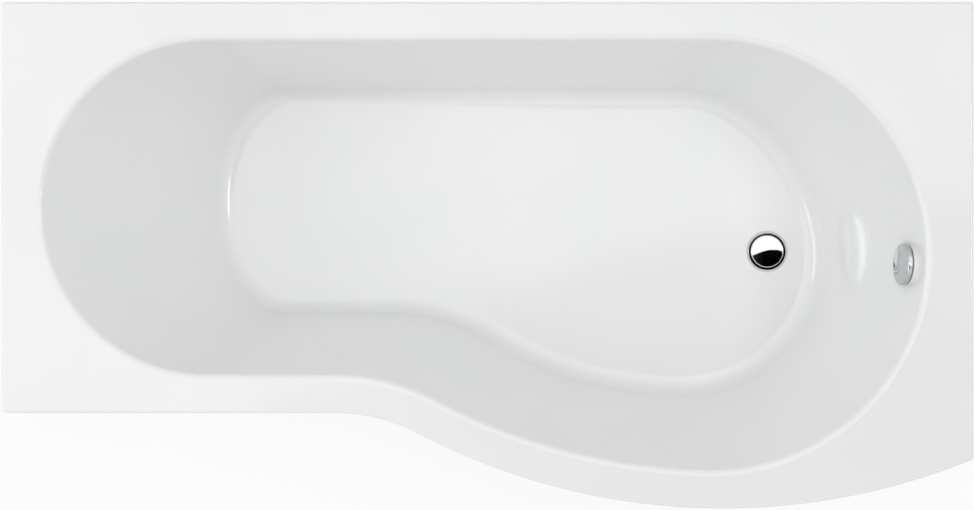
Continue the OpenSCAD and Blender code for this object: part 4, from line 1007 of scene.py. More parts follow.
pad_pattern = moulded_pad("pad_pattern")
lock_pattern = hex_nut("lock_pattern", NUT_H, 0)
tall_pattern = rolled_stud("tall_pattern", STUD_TOP)
short_pattern = rolled_stud("short_pattern", CENTRE_STUD_TOP)
for name, (x, y) in [*LEGS.items(), ("centre", CENTRE_LEG)]:
    at_leg = Matrix.Translation(Vector((x, y, 0)) * MM)
    rod = duplicate(short_pattern if name == "centre" else tall_pattern, name + "_threaded_stud", at_leg)
    lock = duplicate(lock_pattern, "lock", at_leg @ Matrix.Translation((0, 0, PAD_H * MM)))
    fit(soften(join(rod, lock), 28), bright_zinc, name + "_leg", "zinc", name + "_stud")
    foot = duplicate(pad_pattern, name + "_nylon_pad", at_leg)
    fit(foot, nylon, name + "_leg", "foot_plastic", name + "_foot")
for pattern in (pad_pattern, lock_pattern, tall_pattern, short_pattern):
    bpy.data.objects.remove(pattern)

# Wood screws. Cold headed steel screws with pan heads and a cross recess, plated in yellow zinc.
# They hold the cradle to the baseboard and the wall clips to the back batten.
SCREW_HEAD_R, SCREW_HEAD_H, SCREW_R, SCREW_L = 4.2, 2.4, 2.1, 14.0
SLOT = (4.4, 1.1, 3.0)


def cross_screw(name):
    """One screw, pointing up, with its head's bearing face at z = 0."""
    head = turned(
        name,
        [
            (0, -SCREW_HEAD_H), (SCREW_HEAD_R - 1.6, -SCREW_HEAD_H),
            (SCREW_HEAD_R - 0.9, -SCREW_HEAD_H + 0.25), (SCREW_HEAD_R - 0.35, -SCREW_HEAD_H + 0.8),
            (SCREW_HEAD_R, -0.9), (SCREW_HEAD_R, 0), (SCREW_R, 0), (SCREW_R, SCREW_L - SCREW_R),
            (SCREW_R / 4, SCREW_L), (0, SCREW_L),
        ],
        24,
    )
    for turn in (0, 90):
        blade = bar((0, 0, -SCREW_HEAD_H), SLOT)
        bpy.ops.object.mode_set(mode="EDIT")
        bpy.ops.mesh.select_all(action="DESELECT")
        bpy.ops.object.mode_set(mode="OBJECT")
        for face in blade.data.polygons:
            face.select = face.normal.z > 0.9
        bpy.ops.object.mode_set(mode="EDIT")
        bpy.ops.mesh.select_mode(type="FACE")
        bpy.ops.transform.resize(value=(0.55, 0.6, 1), center_override=(0, 0, 0))
        bpy.ops.object.mode_set(mode="OBJECT")
        carve(head, put(blade, Matrix.Rotation(rad(turn), 4, "Z")))
    return soften(head, 30)


def drive(name, node, places, z):
    """Copies of the screw at all its places, each turned its own way."""
    made = [
        duplicate(
            screw_pattern, "screw",
            Matrix.Translation(Vector((x, y, z)) * MM) @ Matrix.Rotation(rad(37 * i), 4, "Z"),
        )
        for i, (x, y) in enumerate(places)
    ]
    made = join(*made)
    made.name = name
    fit(made, yellow_zinc, "root", "gold_zinc", node)


screw_pattern = cross_screw("screw_pattern")
rail_places = [
    (x + dx, y) for x in (HEAD_RAIL_X, FOOT_RAIL_X) for y in (-50, 40, 130, 220) for dx in (-12, 12)
]
drive("rail_wood_screws", "rail_screws", rail_places, BOARD_Z - RAIL_T)
plate_places = [(CENTRE_LEG[0] + 43 * i, CENTRE_LEG[1] + 43 * j) for i in (-1, 1) for j in (-1, 1)]
drive("plate_wood_screws", "plate_screws", plate_places, PLATE_Z)

# Wall brackets. Each is a steel strip, folded so that it steps out under the lip and hangs down
# against the wall, and screwed up into the back batten.
for node in ("head_wall_bracket", "foot_wall_bracket"):
    fit(eased_copy(node, "folded_" + node, 0.7, 3), bright_zinc, "root", "zinc", node)
clip_y = BACK_Y - BATTEN_IN - BATTEN_W / 2 - 4
clip_places = [(450 * i + 12 * j, clip_y) for i in (-1, 1) for j in (-1, 1)]
drive("bracket_wood_screws", "bracket_screws", clip_places, BATTEN_Z - 3)
bpy.data.objects.remove(screw_pattern)

# waste_flange. The chromed brass flange of the waste lies in the dish, and its threaded neck goes
# down through the floor into the plastic body. Three ribs cast inside the neck guide the plug.

# Chromium plate over polished brass: a cool mirror, a little softer where it has been wiped.
chrome = finish(
    "chromium_plate", (160, 3), ((0.35, "#D8DADC"), (0.65, "#DBDDDF")), (0.025, 0.05), Metallic=1.0
)

FLANGE_R, FLANGE_T, NECK_R, NECK_WALL, GASKET_T = 35.0, 2.5, 23.0, 2.5, 1.5
GASKET_Z = RECESS_Z + GASKET_T
FLANGE_Z = GASKET_Z + FLANGE_T
CONE_TOP_R, CONE_FOOT_R, CONE_FOOT_Z = NECK_R + 4.5, NECK_R - 1.5, FLANGE_Z - 4
NECK_Z = FLOOR_Z - 23
STEM_R, GUIDE_WALL, GUIDE_H, RIB_T = 4.0, 3.5, 8.0, 2.5


def thread(r, z0, z1, pitch=1.5, depth=0.6):
    """Ridges of a thread as points of a section, from z0 up to z1 at radius r."""
    turns = int(abs(z1 - z0) / pitch)
    step = (z1 - z0) / turns
    out = [(r - depth, z0)]
    for i in range(turns):
        z = z0 + i * step
        out += [(r - depth, z + step * 0.15), (r, z + step * 0.42)]
        out += [(r, z + step * 0.58), (r - depth, z + step * 0.85)]
    return out + [(r - depth, z1)]


def eased_bar(centre, size, ease):
    """A block with its edges rounded off."""
    made = bar(centre, size)
    bpy.ops.object.mode_set(mode="EDIT")
    bpy.ops.mesh.select_all(action="SELECT")
    bpy.ops.mesh.bevel(offset=ease * MM, segments=2)
    bpy.ops.object.mode_set(mode="OBJECT")
    return made


def guide(name, shaft_r, z):
    """Three cast ribs round a hub, inside a neck."""
    bore = shaft_r + RUN_GAP
    hub = shaft_r + GUIDE_WALL
    piece = turned(
        name,
        [(bore, z), (hub - 0.6, z), (hub, z + 0.6), (hub, z + GUIDE_H - 0.8),
         (hub - 0.8, z + GUIDE_H), (bore, z + GUIDE_H), (bore, z)],
        48,
    )
    length = NECK_R - NECK_WALL / 2 - hub + 1
    centre, size = (hub - 1 + length / 2, 0, z + GUIDE_H / 2), (length, RIB_T, GUIDE_H - 0.6)
    ribs = [
        put(eased_bar(centre, size, 0.5), Matrix.Rotation(rad(turn), 4, "Z")) for turn in (30, 150, 270)
    ]
    return join(piece, *ribs)


section = [
    (NECK_R - NECK_WALL, NECK_Z), *thread(NECK_R, NECK_Z, GASKET_Z - 5), (NECK_R, GASKET_Z - 4),
    (NECK_R, GASKET_Z - 3), (HOLE_R - 0.3, GASKET_Z), (FLANGE_R - 0.3, GASKET_Z),
    (FLANGE_R, GASKET_Z + 0.3), (FLANGE_R, FLANGE_Z - 0.8),
    *arc(FLANGE_R - 0.8, FLANGE_Z - 0.8, 0.8, 0, 90, 7)[1:], (FLANGE_R - 4.5, FLANGE_Z),
    *arc(CONE_TOP_R + 0.8, FLANGE_Z - 0.8, 0.8, 90, 138, 4), (CONE_FOOT_R, CONE_FOOT_Z),
    (NECK_R - NECK_WALL, CONE_FOOT_Z - 1), (NECK_R - NECK_WALL, NECK_Z),
]
flange = turned("chrome_waste_flange", section, 128)
flange = join(flange, guide("plug_guide", STEM_R, NECK_Z + 1))
soften(put(flange, at_waste), 30)
fit(flange, chrome, "root", "chrome", "waste_flange")

# Gaskets. Rings cut from black rubber sheet: a thin one seals the flange in its dish, and one twice
# as thick seals the plastic body against the pad of glass fibre below the floor.

# Nitrile rubber: near black, matt, with a faint bloom of its filler.
rubber = finish(
    "nitrile_rubber", (180, 4), ((0.3, "#202123"), (0.7, "#303133")), (0.62, 0.82), (0.06, 0.5), IOR=1.52
)


def rubber_ring(name, z, r_in, r_out, thick, place):
    """A flat washer whose edges bulge a little where it is squeezed."""
    half = thick / 2
    section = [
        (r_in, z), (r_out - 0.3, z), *arc(r_out - half * 0.5, z + half, half * 0.5, -50, 50, 4),
        (r_out - 0.3, z + thick), (r_in, z + thick), (r_in, z),
    ]
    return soften(put(turned(name, section, 96), place), 40)


LOWER_GASKET_T = 2 * GASKET_T
BODY_Z = PAD_FACE_Z - LOWER_GASKET_T
ring = rubber_ring("flange_gasket", RECESS_Z, HOLE_R, FLANGE_R - 1, GASKET_T, at_waste)
fit(ring, rubber, "root", "seal_rubber", "waste_upper_gasket")
ring = rubber_ring("body_gasket", BODY_Z, HOLE_R, 38.0, LOWER_GASKET_T, at_waste)
fit(ring, rubber, "root", "seal_rubber", "waste_lower_gasket")

# waste_body. Injection moulded polypropylene below the floor: a flange that the neck screws into,
# a chamber with the hose's inlet and the lever's bearing, and the threaded tail for the trap.

# Moulded polypropylene: warm white, waxy, with flow marks and the grain of the mould.
white_pp = finish(
    "moulded_white_polypropylene", (70, 3), ((0.3, "#E3E3DE"), (0.7, "#ECECE8")), (0.3, 0.46),
    (0.04, 0.5), (1100, 2), IOR=1.49,
)

CHAMBER_Z, CHAMBER_R, BODY_R, BODY_FLANGE_R = FLOOR_Z - 54, NECK_R + 1, NECK_R + 4.5, 38.0
TAIL_Z, TAIL_TOP, TAIL_R, TAIL_WALL = FLOOR_Z - 79, FLOOR_Z - 58, 23.9, 3.5
INLET_Z, INLET_L, HOSE_R, HOSE_BORE_R = FLOOR_Z - 38, 46.0, 15.0, 11.0
ARM_L, ARM_T, ARM_W, TIP_R, LEVER_R, PLUG_LIFT, SIDE_GAP = 15.0, 3.0, 6.0, 3.0, 3.0, 9.5, 0.3
STEM_FOOT = CHAMBER_Z + 18
arm_swing = math.asin(PLUG_LIFT / 2 / ARM_L)
LEVER_X = -ARM_L * math.cos(arm_swing)
LEVER_Z = STEM_FOOT - SIDE_GAP - TIP_R + PLUG_LIFT / 2
BEARING_R, LEVER_OUT, DRILL_L = LEVER_R + 3.5, BODY_R + 8, 60
flange_foot = BODY_Z - 6
along_x = Matrix.Rotation(rad(90), 4, "Y")
at_inlet = Matrix.Translation((0, 0, INLET_Z * MM)) @ along_x
at_lever = Matrix.Translation((LEVER_X * MM, 0, LEVER_Z * MM)) @ Matrix.Rotation(rad(90), 4, "X")


def hose_spout(name, land_at, length):
    """A spout along Z, with a raised land at its end that the hose is clamped on."""
    section = [
        (0, 0), (HOSE_R - 1, 0), (HOSE_R - 1, land_at), (HOSE_R, land_at + 0.5), (HOSE_R, length - 1),
        (HOSE_R - 1, length), (0, length),
    ]
    return turned(name, section, 64)


body = turned(
    "polypropylene_waste_body",
    [
        (0, TAIL_Z), (TAIL_R - 1.6, TAIL_Z), *thread(TAIL_R, TAIL_Z + 1, TAIL_TOP - 1, 2.3, 1.1),
        (TAIL_R, TAIL_TOP - 0.4), (TAIL_R, TAIL_TOP), (TAIL_R + 1.5, TAIL_TOP), (BODY_R, CHAMBER_Z),
        (BODY_R, BODY_Z - 9), *arc(BODY_R + 3, BODY_Z - 9, 3, 180, 90, 4)[1:],
        (BODY_FLANGE_R - 0.8, flange_foot), (BODY_FLANGE_R, BODY_Z - 5.2), (BODY_FLANGE_R, BODY_Z - 0.8),
        (BODY_FLANGE_R - 0.8, BODY_Z), (0, BODY_Z),
    ],
    96,
)
carve(body, put(hose_spout("inlet", 30, INLET_L), at_inlet), "UNION")
bearing_section = [
    (0, 0), (BEARING_R, 0), (BEARING_R, LEVER_OUT - 0.6), (BEARING_R - 0.6, LEVER_OUT), (0, LEVER_OUT),
]
carve(body, put(turned("bearing", bearing_section, 48), at_lever), "UNION")
add_webs(
    body, (35, 65, 115, 145, 180, 215, 325), (BODY_R + 1.6, 0, (CHAMBER_Z + flange_foot) / 2),
    (6, 2, flange_foot - CHAMBER_Z + 1), (BODY_R + 4.6, 0, BODY_Z - 10), (0.93, 0, -0.2),
)
GUIDE_Z = NECK_Z + 1
bore = turned(
    "chamber",
    [
        (0, TAIL_Z - 1), (TAIL_R - TAIL_WALL, TAIL_Z - 1), (TAIL_R - TAIL_WALL, CHAMBER_Z),
        (CHAMBER_R, CHAMBER_Z), (CHAMBER_R, GUIDE_Z), (NECK_R + RUN_GAP, GUIDE_Z),
        (NECK_R + RUN_GAP, BODY_Z + 1), (0, BODY_Z + 1),
    ],
    96,
)
carve(body, bore)
carve(body, put(round_bar("inlet_bore", HOSE_BORE_R, 0, DRILL_L, 48), at_inlet))
carve(body, put(round_bar("lever_bore", LEVER_R + RUN_GAP, 0, DRILL_L, 32), at_lever))
soften(put(body, at_waste), 30)
fit(body, white_pp, "root", "fitting_plastic", "waste_body")

# lift_lever. A brass rocker lifts the stem. Its spindle goes out through the body to a crank that
# the cable turns.

# Machined brass: warm yellow, with fine turning marks round it and a little tarnish.
brass = finish(
    "machined_brass", (90, 5), ((0.3, "#B08A46"), (0.7, "#CDAE66")), (0.2, 0.4), (0.02, 0.5), (700, 2),
    Metallic=1.0,
)

CRANK_R, CRANK_H, CRANK_GAP, CUP_WALL, CABLE_R = 9.0, 5.0, 1.0, 2.5, 2.5
CUP_R, CUP_H = CRANK_R + CRANK_GAP + CUP_WALL, CRANK_H + 2 * CRANK_GAP + 2 * CUP_WALL
crank_z = LEVER_OUT + CUP_WALL + CRANK_GAP


def crank_section(r, start, end):
    """A spindle from start to end with its crank on the far end."""
    return [
        (0, start), (r - 0.4, start), (r, start + 0.4), (r, end), (CRANK_R - 0.5, end),
        (CRANK_R, end + 0.5), (CRANK_R, end + CRANK_H - 0.5), (CRANK_R - 0.5, end + CRANK_H),
        (0, end + CRANK_H),
    ]


lever = turned("brass_lift_lever", crank_section(LEVER_R, -ARM_W / 2, crank_z), 48)
carve(lever, round_bar("hub", LEVER_R + 1.5, -ARM_W / 2, ARM_W / 2, 48), "UNION")
carve(lever, eased_bar((ARM_L / 2, 0, 0), (ARM_L, ARM_T, ARM_W), 0.4), "UNION")
tip = round_bar("tip", TIP_R, -ARM_W / 2, ARM_W / 2, 32)
carve(lever, put(tip, Matrix.Translation((ARM_L * MM, 0, 0))), "UNION")
put(lever, at_waste @ at_lever @ Matrix.Rotation(-arm_swing, 4, "Z"))
fit(soften(lever, 30), brass, "lever", "brass", "lift_lever")

# lever_housing. A moulded cup of dark plastic is snapped over the crank, and the cable enters it
# through a gland on its side.

# Glass filled nylon: charcoal grey, satin, with fine flow marks.
charcoal = finish(
    "glass_filled_nylon", (240, 4), ((0.3, "#34383B"), (0.7, "#44484C")), (0.36, 0.56), (0.04, 0.5),
    IOR=1.53,
)
GLAND_L = 7.0


def crank_cup(name, shaft_r, gland_turn):
    """A closed cup round a crank from z = 0, its cable gland to one side, and a ribbed lid."""
    cup = turned(
        name,
        [
            (0, 0), (CUP_R - 0.8, 0), (CUP_R, 0.8), (CUP_R, CUP_H - 3.4), (CUP_R - 0.5, CUP_H - 3.1),
            (CUP_R - 0.5, CUP_H - 2.7), (CUP_R, CUP_H - 2.4), (CUP_R, CUP_H - 0.9), (CUP_R - 0.9, CUP_H),
            (CUP_R - 4, CUP_H), (CUP_R - 4.4, CUP_H - 0.5), (0, CUP_H - 0.5),
        ],
        64,
    )
    gland_r = CABLE_R + 1.8
    gland = turned(
        "gland",
        [
            (0, 0), (gland_r, 0), (gland_r, CUP_R + 1), (gland_r - 0.5, CUP_R + 1.6),
            (gland_r - 0.5, CUP_R + 2.4), (gland_r, CUP_R + 3), (gland_r, CUP_R + 4),
            (gland_r - 0.5, CUP_R + 4.6), (gland_r - 0.9, CUP_R + GLAND_L), (0, CUP_R + GLAND_L),
        ],
        32,
    )
    aim = Matrix.Rotation(rad(gland_turn), 4, "Z") @ Matrix.Translation(
        (0, (CRANK_R - CABLE_R) * MM, CUP_H / 2 * MM)
    )
    carve(cup, put(gland, aim @ along_x), "UNION")
    room = turned(
        "room",
        [
            (0, -1), (shaft_r + RUN_GAP, -1), (shaft_r + RUN_GAP, CUP_WALL),
            (CRANK_R + CRANK_GAP, CUP_WALL), (CRANK_R + CRANK_GAP, CUP_H - CUP_WALL),
            (0, CUP_H - CUP_WALL),
        ],
        48,
    )
    return soften(carve(cup, room), 30)


cup = crank_cup("lever_crank_cup", LEVER_R, 0)
put(cup, at_waste @ at_lever @ Matrix.Translation((0, 0, LEVER_OUT * MM)))
fit(cup, charcoal, "root", "housing_plastic", "lever_housing")

# plug_cap. The plug's cover, a shallow dome pressed from brass sheet and chromed, on a turned
# carrier that drops into the waste. It lifts with the stem when the overflow's knob is turned.
CAP_Z, CAP_T, PLUG_R, DOME_H = FLANGE_Z + 0.3, 1.6, 30.0, 5.0
CROWN_R, CROWN_H, SHOULDER_R = 28.5, 2.4, 1.8
CARRIER_R, CARRIER_H = NECK_R - NECK_WALL - 0.5, 3.6
dome_r = (CROWN_R**2 + CROWN_H**2) / (2 * CROWN_H)
dome_turn = math.degrees(math.asin(CROWN_R / dome_r))
low, top = CAP_Z - CARRIER_H, CAP_Z + CAP_T + DOME_H
crown = [
    (dome_r * math.sin(rad(a)), top - dome_r * (1 - math.cos(rad(a))))
    for a in [dome_turn * (1 - i / 22) for i in range(22)]
]
shoulder_at = (
    CROWN_R - SHOULDER_R * math.sin(rad(dome_turn)),
    top - CROWN_H - SHOULDER_R * math.cos(rad(dome_turn)),
)
cap = turned(
    "chrome_plug_cap",
    [
        (0, CAP_Z), (STEM_R, CAP_Z), (STEM_R, low), (CARRIER_R - 0.4, low), (CARRIER_R, low + 0.4),
        (CARRIER_R, CAP_Z), (PLUG_R - 0.7, CAP_Z), (PLUG_R - 0.2, CAP_Z + 0.2), (PLUG_R, CAP_Z + 0.6),
        *arc(*shoulder_at, SHOULDER_R, 0, 90 - dome_turn, 9)[:-1], *crown, (0, top),
    ],
    128,
)
soften(put(cap, at_waste), 30)
fit(cap, chrome, "plug", "chrome", "plug_cap")

# plug_seal and plug_stem. A moulded ring under the cover closes on the cone of the flange, and a
# brass rod screwed into the cover stands on the lever.
seal_foot, seal_edge = low + 0.4, FLANGE_Z - 0.7


def seal_r(z):
    return CONE_FOOT_R - 0.5 + (CONE_TOP_R - CONE_FOOT_R) * (z - CONE_FOOT_Z) / (FLANGE_Z - CONE_FOOT_Z)


seal = turned(
    "plug_seal_ring",
    [
        (CARRIER_R, seal_foot), (seal_r(seal_foot) - 0.3, seal_foot),
        (seal_r(seal_foot + 0.4), seal_foot + 0.4), (seal_r(seal_edge), seal_edge),
        (seal_r(seal_edge), CAP_Z), (CARRIER_R, CAP_Z), (CARRIER_R, seal_foot),
    ],
    96,
)
fit(soften(put(seal, at_waste), 40), rubber, "plug", "seal_rubber", "plug_seal")
stem = turned(
    "brass_plug_stem",
    [
        (0, STEM_FOOT), (STEM_R - 1, STEM_FOOT), (STEM_R, STEM_FOOT + 1), (STEM_R, low - 4),
        (STEM_R - 0.5, low - 3.6), (STEM_R - 0.5, low - 0.6), (STEM_R, low), (STEM_R, CAP_Z), (0, CAP_Z),
    ],
    48,
)
fit(soften(put(stem, at_waste), 30), brass, "plug", "brass", "plug_stem")

# overflow_gasket, overflow_body and overflow_sleeve. A rubber ring and a moulded elbow sit behind the
# end wall, and a threaded sleeve clamps them through it from the bath's side. The knob hides the
# sleeve and leaves a gap for the water.
ELBOW_FLANGE_T, ELBOW_WALL, ELBOW_L, SPOUT_L = 4.5, 3.0, 26.0, 54.0
ELBOW_FLANGE_R, ELBOW_R = OUTER_SEAT_R - 2, NECK_R + 4
ELBOW_TOP = -SEAT_BACK - 3
ELBOW_BACK = ELBOW_TOP - ELBOW_FLANGE_T - ELBOW_L
SPOUT_AT = ELBOW_BACK + ELBOW_WALL + HOSE_BORE_R + 1
SLEEVE_FLANGE_R, SLEEVE_FLANGE_T = SEAT_R - 3, 1.5
SLEEVE_L = -ELBOW_TOP + ELBOW_FLANGE_T - 1
SPINDLE_R, NECK_BORE_R = 4.0, NECK_R - NECK_WALL
elbow_neck = ELBOW_TOP - ELBOW_FLANGE_T

ring = rubber_ring("overflow_gasket_ring", ELBOW_TOP, HOLE_R, ELBOW_FLANGE_R, 3.0, at_overflow)
fit(ring, rubber, "root", "seal_rubber", "overflow_gasket")

elbow = turned(
    "polypropylene_overflow_elbow",
    [
        (0, ELBOW_BACK), (ELBOW_R - 1.5, ELBOW_BACK), (ELBOW_R, ELBOW_BACK + 1.5),
        (ELBOW_R, elbow_neck - 2), *arc(ELBOW_R + 2, elbow_neck - 2, 2, 180, 90, 4)[1:],
        (ELBOW_FLANGE_R - 0.7, elbow_neck), (ELBOW_FLANGE_R, elbow_neck + 0.7),
        (ELBOW_FLANGE_R, ELBOW_TOP - 0.7), (ELBOW_FLANGE_R - 0.7, ELBOW_TOP), (0, ELBOW_TOP),
    ],
    96,
)
down = Matrix.Translation((0, 0, SPOUT_AT * MM)) @ Matrix.Rotation(rad(-90), 4, "Y")
carve(elbow, put(hose_spout("spout", 40, SPOUT_L), down), "UNION")
add_webs(
    elbow, (60, 120, 240, 300, 0), (ELBOW_R + 3, 0, elbow_neck - 7), (10, 2, 15),
    (ELBOW_R + 7.5, 0, elbow_neck - 1), (0.86, 0, -0.5),
)
room = turned(
    "room",
    [
        (0, ELBOW_BACK - 1), (SPINDLE_R + RUN_GAP, ELBOW_BACK - 1),
        (SPINDLE_R + RUN_GAP, ELBOW_BACK + ELBOW_WALL),
        (NECK_R + RUN_GAP, ELBOW_BACK + ELBOW_WALL), (NECK_R + RUN_GAP, ELBOW_TOP + 1),
        (0, ELBOW_TOP + 1),
    ],
    64,
)
carve(elbow, room)
carve(elbow, put(round_bar("spout_bore", HOSE_BORE_R, 0, DRILL_L + 10, 48), down))
soften(put(elbow, at_overflow), 30)
fit(elbow, white_pp, "root", "fitting_plastic", "overflow_body")

# Moulded ABS: mid grey, satin.
grey_abs = finish(
    "moulded_grey_abs", (110, 3), ((0.3, "#83878B"), (0.7, "#92969A")), (0.32, 0.5), (0.03, 0.4), IOR=1.53
)

sleeve = turned(
    "threaded_overflow_sleeve",
    [
        (NECK_BORE_R, -SLEEVE_L), *thread(NECK_R, -SLEEVE_L, -2.5), (NECK_R, -1.5), (NECK_R, 0),
        (SLEEVE_FLANGE_R - 0.3, 0), (SLEEVE_FLANGE_R, 0.3),
        *arc(SLEEVE_FLANGE_R - 0.7, SLEEVE_FLANGE_T - 0.7, 0.7, 0, 90, 4),
        (NECK_BORE_R + 0.5, SLEEVE_FLANGE_T), (NECK_BORE_R, SLEEVE_FLANGE_T - 0.5),
        (NECK_BORE_R, -SLEEVE_L),
    ],
    96,
)
sleeve = join(sleeve, guide("sleeve_guide", SPINDLE_R, -10.0))
soften(put(sleeve, at_overflow), 30)
fit(sleeve, grey_abs, "root", "sleeve_plastic", "overflow_sleeve")

# overflow_knob. A hollow chromed cover with a rolled edge, moulded and plated. It turns by almost a
# third of a turn to lift the plug, and a dimple low on its face shows how far it is turned.

# Chromium plate on moulded ABS, coloured as a darker copy of the chrome on brass: painted shade, so that
# the knob's face mirrors darker.
painted_shade_chrome = finish(
    "chromium_plate_with_painted_shade", (150, 3), ((0.35, "#C0C2C4"), (0.65, "#C4C6C8")), (0.035, 0.055), Metallic=1.0
)

KNOB_R, KNOB_H, KNOB_GAP, KNOB_FACE_T, KNOB_WALL = 36.5, 8.5, 3.5, 2.5, 2.5
KNOB_ROUND, KNOB_CROWN, KNOB_HUB_R = 3.0, 1.0, 7.5
shoulder, flat_r, bore_r = KNOB_H - KNOB_CROWN, KNOB_R - KNOB_ROUND, KNOB_R - KNOB_WALL
inside = shoulder - KNOB_FACE_T
hub_foot = shoulder - (KNOB_GAP + KNOB_H - SLEEVE_FLANGE_T - 2)
face = [(flat_r * (1 - t), shoulder + KNOB_CROWN * t * (2 - t)) for t in [i / 14 for i in range(1, 14)]]
knob = turned(
    "chrome_overflow_knob",
    [
        (0, inside + 1), (SPINDLE_R, inside + 1), (SPINDLE_R, hub_foot), (KNOB_HUB_R - 0.4, hub_foot),
        (KNOB_HUB_R, hub_foot + 0.4), (KNOB_HUB_R, inside - 0.8), (KNOB_HUB_R + 0.8, inside),
        (bore_r - 1, inside), (bore_r, inside - 1), (bore_r, 0.3), (bore_r + 0.3, 0), (KNOB_R - 0.4, 0),
        (KNOB_R, 0.4), *arc(flat_r, shoulder - KNOB_ROUND, KNOB_ROUND, 0, 90, 10), *face, (0, KNOB_H),
    ],
    160,
)
DIMPLE_TURN, DIMPLE_AT, DIMPLE_R = 206.0, 28.0, 3.0
bpy.ops.mesh.primitive_uv_sphere_add(
    segments=48, ring_count=24, radius=DIMPLE_R * MM,
    location=(
        DIMPLE_AT * math.cos(rad(DIMPLE_TURN)) * MM, DIMPLE_AT * math.sin(rad(DIMPLE_TURN)) * MM,
        (shoulder + DIMPLE_R / 2) * MM,
    ),
)
dimple = bpy.context.object
bpy.ops.object.transform_apply()
carve(knob, dimple)
soften(put(knob, at_overflow @ Matrix.Translation((0, 0, KNOB_GAP * MM))), 28)
fit(knob, painted_shade_chrome, "knob", "chrome", "overflow_knob")

# knob_spindle. A turned brass spindle runs from the knob through the sleeve's guide and the elbow's
# back wall to its crank.
spindle_foot, spindle_top = ELBOW_BACK - CUP_WALL - CRANK_GAP, KNOB_GAP + shoulder - KNOB_FACE_T + 1
spindle = turned(
    "brass_knob_spindle",
    [
        (0, -spindle_top), *crank_section(SPINDLE_R, -spindle_top, -spindle_foot)[1:],
    ],
    48,
)
put(spindle, at_overflow @ Matrix.Rotation(math.pi, 4, "X"))
fit(soften(spindle, 30), brass, "knob", "brass", "knob_spindle")

# spindle_housing. The same kind of moulded cup, mirrored, covers the upper crank behind the elbow.
# Its gland looks down to the waste, where the cable comes from.
cup = crank_cup("spindle_crank_cup", SPINDLE_R, 180)
cup.data.transform(at_overflow @ Matrix.Translation((0, 0, ELBOW_BACK * MM)) @ flip)
cup.data.flip_normals()
soften(cup, 30)
fit(cup, charcoal, "root", "housing_plastic", "spindle_housing")

# overflow_hose. A blow moulded ribbed hose takes the overflow's water to the waste. It leaves the
# waste level, bends once and goes up to the elbow, so it is drawn ring by ring along that line.
HOSE_BEND_R, CABLE_BEND_R, RIB_PITCH, RIB_D, CUFF_L = 58.0, 80.0, 5.0, 1.6, 22.0
RUN_TURN = rad(90 - OVERFLOW_LEAN)


def from_overflow(x, y, z):
    return seat + ex * x + ey * y + ez * z


def run_lengths(p, q, r):
    """The straight, the bend and the straight that make up a run from p to q."""
    kx = q.x - (q.z - p.z) * math.tan(lean)
    t = r * math.tan(RUN_TURN / 2)
    return kx - p.x - t, r * RUN_TURN, (q.z - p.z) / math.cos(lean) - t


def run_at(p, q, r, s):
    first, bend, second = run_lengths(p, q, r)
    turn = min(max(s - first, 0), bend) / r
    after = max(s - first - bend, 0)
    t = s / (first + bend + second)
    return Vector((
        p.x + min(s, first) + r * math.sin(turn) + after * math.sin(lean),
        mix(p.y, q.y, t * t * (3 - 2 * t)),
        p.z + r * (1 - math.cos(turn)) + after * math.cos(lean),
    ))


def swept(name, p, q, r, sizes, sides, closed):
    """A skin over rings along a run; sizes are (distance, radius). It closes on itself, or has caps."""
    total = sum(run_lengths(p, q, r))
    points, faces = [], []
    for s, radius in sizes:
        a, b = max(s - 0.05, 0), min(s + 0.05, total)
        way = run_at(p, q, r, b) - run_at(p, q, r, a)
        way = Vector((way.x, 0, way.z)).normalized()
        side = Vector((0, 1, 0))
        up = way.cross(side)
        centre = run_at(p, q, r, s)
        for i in range(sides):
            angle = 2 * math.pi * i / sides
            points.append((centre + radius * (side * math.cos(angle) + up * math.sin(angle))) * MM)
    rings = len(sizes)
    for i in range(rings if closed else rings - 1):
        j = (i + 1) % rings
        for k in range(sides):
            m = (k + 1) % sides
            faces.append((i * sides + k, i * sides + m, j * sides + m, j * sides + k))
    if not closed:
        faces.append(tuple(reversed(range(sides))))
        faces.append(tuple((rings - 1) * sides + k for k in range(sides)))
    mesh = bpy.data.meshes.new(name)
    mesh.from_pydata(points, [], faces)
    made = bpy.data.objects.new(name, mesh)
    bpy.context.collection.objects.link(made)
    pick_only(made)
    bpy.ops.object.mode_set(mode="EDIT")
    bpy.ops.mesh.select_all(action="SELECT")
    bpy.ops.mesh.normals_make_consistent(inside=False)
    bpy.ops.object.mode_set(mode="OBJECT")
    return made


hose_start = Vector((WASTE[0] + INLET_L, WASTE[1], INLET_Z))
hose_end = from_overflow(-SPOUT_L, 0, SPOUT_AT)
total = sum(run_lengths(hose_start, hose_end, HOSE_BEND_R))
ribs = int((total - 2 * CUFF_L) / RIB_PITCH)
first = (total - ribs * RIB_PITCH) / 2
root_r = HOSE_R - RIB_D
RIB_SHAPE = (
    (0.16, 0.12), (0.27, 0.62), (0.38, 0.95), (0.5, 1.0), (0.62, 0.95), (0.73, 0.62), (0.84, 0.12),
)
sizes = [(0, root_r), (first, root_r)]
for i in range(ribs):
    sizes += [(first + (i + at) * RIB_PITCH, root_r + RIB_D * rise) for at, rise in RIB_SHAPE]
sizes += [(total - first, root_r), (total, root_r)]
inner = int(total / 9)
sizes += [(total * (1 - i / inner), HOSE_BORE_R) for i in range(inner + 1)]
hose = swept("ribbed_overflow_hose", hose_start, hose_end, HOSE_BEND_R, sizes, 28, True)

# Blow moulded polypropylene hose: pale grey, satin, with a slight haze.
hose_pp = finish(
    "blow_moulded_polypropylene", (130, 3), ((0.3, "#CDD0D2"), (0.7, "#DADCDE")), (0.34, 0.5),
    (0.05, 0.4), IOR=1.49,
)
fit(soften(hose, 50), hose_pp, "root", "hose_plastic", "overflow_hose")

